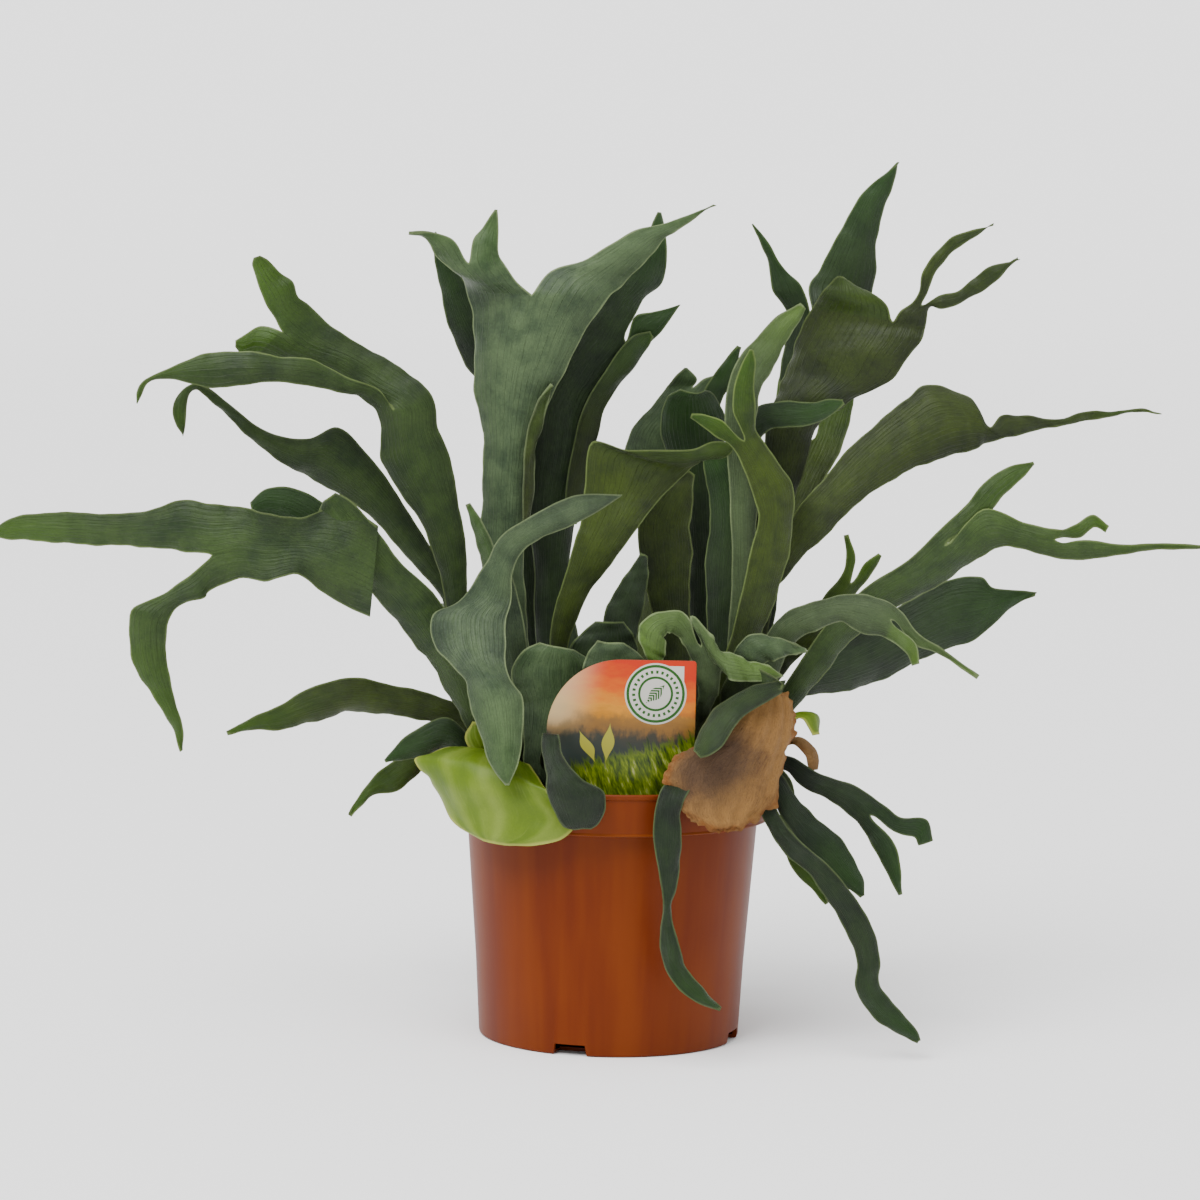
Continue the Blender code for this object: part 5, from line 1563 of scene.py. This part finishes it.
class ShieldLeaves(Bunch):
    """The shield leaves that clasp the crowns and lie over the rim."""

    def build(self) -> None:
        """Grow them all."""
        grow = self.grower.frond
        grow("shield_green_front", "left", Segment(
            [pair(-44, 149, -74, 154, -52, -36, 8), pair(-33, 145, -101, 155, -86, -50, 20),
             pair(-29, 133, -100, 143, -93, -58, 34), pair(-23, 122, -96, 131, -93, -58, 36),
             pair(-30, 115, -88, 122, -92, -60, 34), pair(-41, 111, -80, 116, -88, -64, 28),
             pair(-53, 109, -68, 111, -80, -70, 18)]),
            GreenShieldFinish(), 8.0, wave=1.2, wavelength=30.0, tip=0.0, ribs=0.25, sheet=Sheet(31, 9))
        grow("shield_brown_front", "right", Segment(
            [pair(84, 178, 70, 178, -36, -44, 8), pair(88, 187, 69, 188, -52, -62, 16),
             pair(94, 176, 59, 177, -58, -78, 30), pair(95, 163, 49, 164, -58, -86, 38),
             pair(94, 152, 36, 155, -56, -92, 38), pair(91, 142, 31, 145, -56, -93, 36),
             pair(86, 133, 36, 136, -60, -92, 32), pair(79, 126, 39, 128, -66, -90, 26),
             pair(69, 121, 48, 122, -74, -88, 18), pair(60, 119, 54, 119, -80, -84, 8)]),
            BrownShieldFinish(), 5.0, wave=1.6, wavelength=17.0, tip=0.0, ribs=0.7, ragged=2.8,
            sheet=Sheet(31, 9))
        grow("shield_green_side", "right", Segment(
            [(80, -21, 159, 5), (92, -28, 173, 8.5), (102, -32, 173, 8.5), (105, -34, 163, 5)],
            across=(0.4, 0.9, 0.0), curl=-30), GreenShieldFinish(), 3.5)
        grow("shield_brown_side", "right", Segment(
            [(82, -6, 151, 6), (95, -11, 158, 9), (104, -15, 151, 9), (105, -16, 142, 5)],
            across=(0.35, 0.94, 0.0), curl=-30), BrownShieldFinish(), 3.5)
        grow("shield_yellow_small", "left", Segment(
            [(-68, -30, 152, 5), (-71, -31, 159, 5.5), (-71, -32, 166, 1.5)], curl=20), GreenShieldFinish(), 3.0)
        grow("shield_green_back", "back", Segment(
            [(-4, 74, 147, 14, 0, -20), (-8, 86, 149, 26, 0, -30), (-10, 95, 138, 32, 0, -40),
             (-10, 98, 124, 30, 0, -38), (-10, 97, 113, 15, 0, -20)],
            across=(-1.0, 0.0, 0.0)), GreenShieldFinish(), 6.0)


@dataclass
class Pot:
    """The nursery pot: a tapered wall, a rim band with a lip, and notches at the foot. Sizes in metres."""

    height: float = 0.1373
    rim_radius: float = 0.085
    body_radius: float = 0.0754
    base_radius: float = 0.0666
    wall: float = 0.0013
    floor: float = 0.0018
    band: float = 0.0219
    sides: int = 160
    notches: int = 4
    first_notch: float = -107.0
    notch_size: tuple[float, float] = (0.0185, 0.0056)

    def profile(self) -> list[tuple[float, float]]:
        """The wall from the edge of the base, up outside, over the rim and down inside.

        Returns:
            Radii and heights.
        """
        step = self.height - self.band
        foot = self.base_radius
        body = self.body_radius
        rim = self.rim_radius
        top = self.height
        return [
            (foot, 0.0), (foot + 0.0006, 0.0004), (foot + 0.0009, 0.0012),
            (foot + (body - foot) * 0.35, step * 0.35), (foot + (body - foot) * 0.7, step * 0.7),
            (body - 0.0001, step - 0.0012), (body, step - 0.0003),
            (rim - 0.0034, step), (rim - 0.0026, step + 0.0002), (rim - 0.0023, step + 0.0007),
            (rim - 0.0025, step + 0.0018), (rim - 0.0021, step + 0.0028),
            (rim - 0.0013, top - 0.0042), (rim - 0.0011, top - 0.0030), (rim - 0.0003, top - 0.0026),
            (rim, top - 0.0021), (rim, top - 0.0006), (rim - 0.0005, top), (rim - 0.0016, top),
            (rim - 0.0023, top - 0.0006), (rim - 0.0026, top - 0.0020),
            (rim - 0.0038, step + 0.0030), (rim - 0.0050, step + 0.0014), (body - self.wall, step + 0.0010),
            (body - self.wall - 0.0004, step - 0.0010), (foot - self.wall, self.floor)]

    def build(self) -> None:
        """Draw a disc up through the profile, cut the notches and dress the pot."""
        profile = self.profile()
        bpy.ops.object.select_all(action="DESELECT")
        bpy.ops.mesh.primitive_circle_add(vertices=self.sides, radius=profile[0][0], fill_type="NGON")
        pot = bpy.context.active_object
        pot.name = "pot_shell"
        bpy.ops.object.mode_set(mode="EDIT")
        bpy.ops.mesh.select_all(action="SELECT")
        for (radius, level), (wider, higher) in zip(profile, profile[1:]):
            bpy.ops.mesh.extrude_region_move(TRANSFORM_OT_translate={"value": (0.0, 0.0, higher - level)})
            ratio = wider / radius
            bpy.ops.transform.resize(value=(ratio, ratio, 1.0), center_override=(0.0, 0.0, higher))
        bpy.ops.mesh.select_all(action="SELECT")
        bpy.ops.mesh.normals_make_consistent(inside=False)
        bpy.ops.object.mode_set(mode="OBJECT")
        for i in range(self.notches):
            self.notch(pot, math.radians(self.first_notch + 360.0 / self.notches * i))
        hand_over(pot, PlasticFinish(), ["nursery_pot"], 32.0)

    def notch(self, pot: bpy.types.Object, angle: float) -> None:
        """Cut one notch, narrower at its top, through the foot of the wall.

        Args:
            pot: the pot.
            angle: where it is, in radians from +X.
        """
        wide, high = self.notch_size
        reach = self.base_radius - 0.0015
        bpy.ops.object.select_all(action="DESELECT")
        bpy.ops.mesh.primitive_cube_add(
            size=1.0, location=(reach * math.cos(angle), reach * math.sin(angle), high / 2.0 - 0.001),
            rotation=(0.0, 0.0, angle), scale=(0.02, wide, high + 0.002))
        cutter = bpy.context.active_object
        bpy.ops.object.transform_apply(location=False, rotation=False, scale=True)
        for vertex in cutter.data.vertices:
            if vertex.co.z > 0.0:
                vertex.co.y *= 0.86
        change = pot.modifiers.new("notch", "BOOLEAN")
        change.operation = "DIFFERENCE"
        change.solver = "EXACT"
        change.object = cutter
        apply_all(pot)
        bpy.data.objects.remove(cutter)


@dataclass
class PottingMix:
    """The mix: an uneven top with bark chips, fibres and crumbs. Sizes in metres."""

    radius: float = 0.0809
    level: float = 0.1262
    depth: float = 0.006
    taper: float = 0.0025
    grid: int = 110
    chips: int = 420
    fibres: int = 160
    seed: int = 11
    finish: EarthFinish = EarthFinish(
        "potting_mix", pigment(34, 25, 18), pigment(66, 48, 34), pigment(120, 92, 64))

    def build(self) -> None:
        """Make the bed and everything loose on it."""
        bpy.ops.object.select_all(action="DESELECT")
        bpy.ops.mesh.primitive_grid_add(x_subdivisions=self.grid, y_subdivisions=self.grid, size=2.0,
            location=(0, 0, 0))
        bed = bpy.context.active_object
        bed.name = "mix_bed"
        for vertex in bed.data.vertices:
            x, y = vertex.co.x, vertex.co.y
            across = x * math.sqrt(1.0 - y * y / 2.0) * self.radius
            deep = y * math.sqrt(1.0 - x * x / 2.0) * self.radius
            lump = noise.noise(Vector((across, deep, 0.3)) * 70.0) * 0.0016
            crumb = noise.noise(Vector((across, deep, 1.7)) * 420.0) * 0.0009
            vertex.co = (across, deep, self.level + lump + crumb)
        wall = bed.modifiers.new("depth", "SOLIDIFY")
        wall.thickness = self.depth
        wall.offset = -1.0
        apply_all(bed)
        for vertex in bed.data.vertices:
            below = vertex.co.z <= self.level - self.depth / 2.0
            hold_in(vertex, self.radius - self.taper if below else self.radius)
        loose = [self.scatter("chip", self.chips, (0.0052, 0.0034, 0.0016), 0.0002),
                 self.scatter("fibre", self.fibres, (0.013, 0.0005, 0.0004), 0.0009)]
        pick(bed, *loose)
        bpy.ops.object.join()
        hand_over(bed, self.finish, ["potting_mix"], 35.0)

    def scatter(self, name: str, count: int, size: tuple[float, float, float], lift: float) -> bpy.types.Object:
        """Copy one small lump over the bed, each copy turned and sized in its own way.

        Args:
            name: the name of the piece.
            count: how many.
            size: the greatest half length, width and height.
            lift: how far the middles stand over the bed.

        Returns:
            One mesh of them all.
        """
        bpy.ops.object.select_all(action="DESELECT")
        bpy.ops.mesh.primitive_ico_sphere_add(subdivisions=1, radius=1.0)
        first = bpy.context.active_object
        shape = np.array([vertex.co[:] for vertex in first.data.vertices])
        faces = [tuple(polygon.vertices) for polygon in first.data.polygons]
        bpy.data.objects.remove(first)
        random = np.random.default_rng(self.seed + count)
        points: list[tuple] = []
        walls: list[tuple] = []
        for i in range(count):
            angle, turn = random.uniform(0.0, 2.0 * math.pi, 2)
            reach = (self.radius - size[0] * 1.05) * math.sqrt(random.uniform(0.0, 1.0))
            scale = np.array(size) * random.uniform(0.35, 1.0) * random.uniform(0.75, 1.0, 3)
            local = shape * scale * (1.0 + random.uniform(-0.25, 0.25, (len(shape), 1)))
            tilt = random.uniform(-0.3, 0.3)
            local[:, 2] += local[:, 0] * tilt
            cos, sin = math.cos(turn), math.sin(turn)
            x = local[:, 0] * cos - local[:, 1] * sin + reach * math.cos(angle)
            y = local[:, 0] * sin + local[:, 1] * cos + reach * math.sin(angle)
            z = local[:, 2] + self.level + lift + scale[2] * 0.4
            inside = np.minimum(1.0, 0.995 * self.radius / np.hypot(x, y))
            x, y = x * inside, y * inside
            walls += [tuple(index + len(points) for index in face) for face in faces]
            points += list(zip(x, y, z))
        return new_piece(name, points, walls)


@dataclass
class Crowns:
    """The crowns: domes of rhizome covered in chaffy scales, kept inside the pot's wall. Sizes in metres."""

    names: tuple[str, ...] = ("left", "centre", "middle", "right", "front", "back")
    scales: int = 130
    room: float = 0.0798
    foot: float = -0.12
    finish: EarthFinish = EarthFinish(
        "fern_crown", pigment(70, 50, 28), pigment(126, 96, 56), pigment(176, 144, 92), 420.0)

    def build(self) -> None:
        """Make each crown over its CAD dome."""
        for number, name in enumerate(self.names):
            self.crown(name, number)

    def crown(self, name: str, number: int) -> None:
        """One crown.

        Args:
            name: which crown.
            number: its place in the row, which seeds its roughness.
        """
        low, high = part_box("crown_" + name)
        half = Vector(high) / 2.0 - Vector(low) / 2.0
        centre = Vector(((low[0] + high[0]) / 2.0, (low[1] + high[1]) / 2.0, low[2]))
        bpy.ops.object.select_all(action="DESELECT")
        bpy.ops.mesh.primitive_uv_sphere_add(segments=72, ring_count=40, radius=1.0)
        dome = bpy.context.active_object
        dome.name = f"crown_{name}_chaffy"
        for vertex in dome.data.vertices:
            point = vertex.co.copy()
            flat = max(point.z, self.foot)
            rough = 1.0 + 0.08 * noise.noise(point * 3.0 + Vector((number * 7.0, 0.0, 0.0)))
            rough += 0.05 * noise.noise(point * 11.0)
            vertex.co = (centre.x + point.x * half.x * rough, centre.y + point.y * half.y * rough,
                         centre.z + flat * half.z * 2.0 * rough)
        piece = self.chaff(centre, half, number)
        pick(dome, piece)
        bpy.ops.object.join()
        for vertex in dome.data.vertices:
            hold_in(vertex, self.room)
        hand_over(dome, self.finish, ["crown_" + name], 40.0)

    def chaff(self, centre: Vector, half: Vector, number: int) -> bpy.types.Object:
        """Small pointed scales that lie up the dome.

        Args:
            centre: the middle of the dome's foot.
            half: the dome's half width and depth, and half of its height.
            number: what seeds their places.

        Returns:
            One mesh of them all.
        """
        random = np.random.default_rng(40 + number)
        points: list[Vector] = []
        faces: list[tuple] = []
        for i in range(self.scales):
            angle = i * GOLDEN_ANGLE
            rise = 0.06 + 0.9 * (i / self.scales)
            out = Vector((math.cos(angle) * math.sqrt(1 - rise**2), math.sin(angle) * math.sqrt(1 - rise**2), rise))
            foot = Vector((centre.x + out.x * half.x, centre.y + out.y * half.y, centre.z + out.z * half.z * 2.0))
            up = (Vector((0.0, 0.0, 1.0)) + out * 0.7).normalized()
            side = up.cross(out).normalized() * random.uniform(0.0010, 0.0020)
            long = up * random.uniform(0.004, 0.009)
            thick = out * 0.0005
            start = len(points)
            points += [foot - side, foot + side, foot + side * 0.7 + long * 0.5 + thick,
                       foot - side * 0.7 + long * 0.5 + thick, foot + long + thick * 2.0, foot - out * 0.002]
            faces += [tuple(start + k for k in face) for face in (
                (0, 1, 2, 3), (3, 2, 4), (1, 0, 5), (2, 1, 5), (4, 2, 5), (3, 4, 5), (0, 3, 5))]
        piece = new_piece("chaff", [tuple(p) for p in points], faces)
        builder = bmesh.new()
        builder.from_mesh(piece.data)
        bmesh.ops.recalc_face_normals(builder, faces=builder.faces)
        builder.to_mesh(piece.data)
        builder.free()
        return piece


@dataclass
class PlantLabel:
    """The label: a drop-shaped card with one square corner, on a stake. Sizes in metres."""

    centre: tuple[float, float, float] = (0.0033, -0.066, 0.166)
    radius: float = 0.0375
    thickness: float = 0.0008
    stake: float = 0.0055
    foot: float = 0.0655
    point: float = 0.011
    soft: float = 0.0016

    def outline(self) -> list[tuple[float, float]]:
        """The card's edge: the square corner with its small round, three quarters of a circle, and the stake.

        Returns:
            Its points' x and z.
        """
        x, _, z = self.centre
        radius = self.radius
        inner = radius - self.soft
        points = []
        for i in range(6):
            angle = math.pi / 2 * i / 5
            points.append((x + inner + self.soft * math.cos(angle), z + inner + self.soft * math.sin(angle)))
        start = math.asin(self.stake / radius)
        for i in range(64):
            angle = math.pi / 2 + (math.pi - start) * i / 63
            points.append((x + radius * math.cos(angle), z + radius * math.sin(angle)))
        points += [(x - self.stake, self.foot + self.point), (x, self.foot), (x + self.stake, self.foot + self.point)]
        for i in range(22):
            angle = -math.pi / 2 + start + (math.pi / 2 - start) * i / 21
            points.append((x + radius * math.cos(angle), z + radius * math.sin(angle)))
        return points

    def build(self) -> None:
        """Cut the card, give it its thickness and print it."""
        outline = [(x, self.centre[1], z) for x, z in self.outline()]
        card = new_piece("label_printed", outline, [tuple(range(len(outline)))])
        wall = card.modifiers.new("card", "SOLIDIFY")
        wall.thickness = self.thickness
        wall.offset = 0.0
        soft = card.modifiers.new("soft", "BEVEL")
        soft.width = 0.00012
        soft.segments = 2
        apply_all(card)
        hand_over(card, LabelFinish(centre=self.centre), ["plant_label"], 30.0)


@dataclass
class Studio:
    """A pale floor, soft light and the camera."""

    position: Vector = field(default_factory=lambda: Vector((-0.0084, -2.5363, 0.5087)))
    target: Vector = field(default_factory=lambda: Vector((-0.0084, 0.0, 0.2262)))
    lens: float = 148.2
    roll: float = 1.05
    sweep_start: float = 6.0
    sweep_radius: float = 2.5
    sweep_steps: int = 16
    floor_half_width: float = 60.0
    floor_front: float = -30.0

    def build(self) -> None:
        """Make them all."""
        self.floor()
        self.light("key", (-0.9, -1.7, 1.9), 0.9, 22.0)
        self.sun("ceiling", (-0.5, -0.75, 1.5), 3.6, 50.0)
        world = bpy.data.worlds.new("studio")
        world.use_nodes = True
        sky = world.node_tree.nodes["Background"]
        sky.inputs["Color"].default_value = (1.0, 1.0, 1.0, 1.0)
        sky.inputs["Strength"].default_value = 1.05
        bpy.context.scene.world = world
        self.camera()

    def floor(self) -> None:
        """A wide pale floor that sweeps up far behind the plant."""
        bpy.ops.object.select_all(action="DESELECT")
        bpy.ops.mesh.primitive_plane_add(size=1.0, location=(0.0, 0.0, -0.0003))
        floor = bpy.context.active_object
        floor.name = "floor"
        for vertex in floor.data.vertices:
            vertex.co.x *= self.floor_half_width
            vertex.co.y = self.sweep_start if vertex.co.y > 0.0 else self.floor_front
        for edge in floor.data.edges:
            edge.select = all(floor.data.vertices[k].co.y > 0.0 for k in edge.vertices)
        for vertex in floor.data.vertices:
            vertex.select = vertex.co.y > 0.0
        for face in floor.data.polygons:
            face.select = False
        bpy.ops.object.mode_set(mode="EDIT")
        bpy.ops.mesh.select_mode(type="EDGE")
        for i in range(self.sweep_steps):
            low, high = (math.pi / 2 * k / self.sweep_steps for k in (i, i + 1))
            bpy.ops.mesh.extrude_region_move(TRANSFORM_OT_translate={"value": (
                0.0, self.sweep_radius * (math.sin(high) - math.sin(low)),
                self.sweep_radius * (math.cos(low) - math.cos(high)))})
        bpy.ops.object.mode_set(mode="OBJECT")
        bpy.ops.object.shade_smooth()
        shader = Shader("floor_white")
        grain = shader.noise(shader.place(), 3.0, 2.0)
        floor.data.materials.append(shader.finish(
            base_color=shader.mix(grain, (0.95, 0.95, 0.95), (0.96, 0.96, 0.96)), roughness=0.95,
            specular_ior_level=0.1))

    def sun(self, name: str, place: tuple[float, float, float], strength: float, spread: float) -> None:
        """A very soft light from one side.

        Args:
            name: its name.
            place: where it comes from.
            strength: its strength.
            spread: its width in the sky, in degrees.
        """
        lamp = bpy.data.lights.new(name, "SUN")
        lamp.energy = strength
        lamp.angle = math.radians(spread)
        self.hang(lamp, place, (0.0, 0.0, 0.0))

    def light(self, name: str, place: tuple[float, float, float], size: float, power: float) -> None:
        """A soft square light that faces the plant.

        Args:
            name: its name.
            place: where it is.
            size: its side.
            power: its power in watts.
        """
        lamp = bpy.data.lights.new(name, "AREA")
        lamp.shape = "SQUARE"
        lamp.size = size
        lamp.energy = power
        self.hang(lamp, place, (0.0, 0.0, 0.2))

    def hang(self, lamp: bpy.types.Light, place: tuple[float, float, float],
             target: tuple[float, float, float]) -> None:
        """Hang a light and aim it.

        Args:
            lamp: the light.
            place: where it is.
            target: what it faces.
        """
        holder = bpy.data.objects.new(lamp.name, lamp)
        holder.location = place
        holder.rotation_euler = (Vector(target) - Vector(place)).to_track_quat("-Z", "Y").to_euler()
        bpy.context.scene.collection.objects.link(holder)

    def camera(self) -> None:
        """The camera, turned a little about its own line of sight."""
        lens = bpy.data.cameras.new("camera")
        lens.sensor_width = 36.0
        lens.lens = self.lens
        lens.clip_end = 200.0
        holder = bpy.data.objects.new("camera", lens)
        holder.location = self.position
        level = (self.target - self.position).to_track_quat("-Z", "Y")
        holder.rotation_mode = "QUATERNION"
        holder.rotation_quaternion = level @ Quaternion((0.0, 0.0, 1.0), math.radians(self.roll))
        bpy.context.scene.collection.objects.link(holder)
        bpy.context.scene.camera = holder


def main() -> None:
    """Build the plant, its pot and the studio."""
    logging.basicConfig(level=logging.INFO)
    grower = Grower()
    for part in (LeftFronds(grower), CentreFronds(grower), MiddleFronds(grower), FrontFronds(grower),
                 RightFronds(grower), HangingFronds(grower), BackFronds(grower), ShieldLeaves(grower),
                 Crowns(), PottingMix(), Pot(), PlantLabel(), Studio()):
        part.build()
    bpy.context.view_layer.update()


if __name__ == "__main__":
    main()
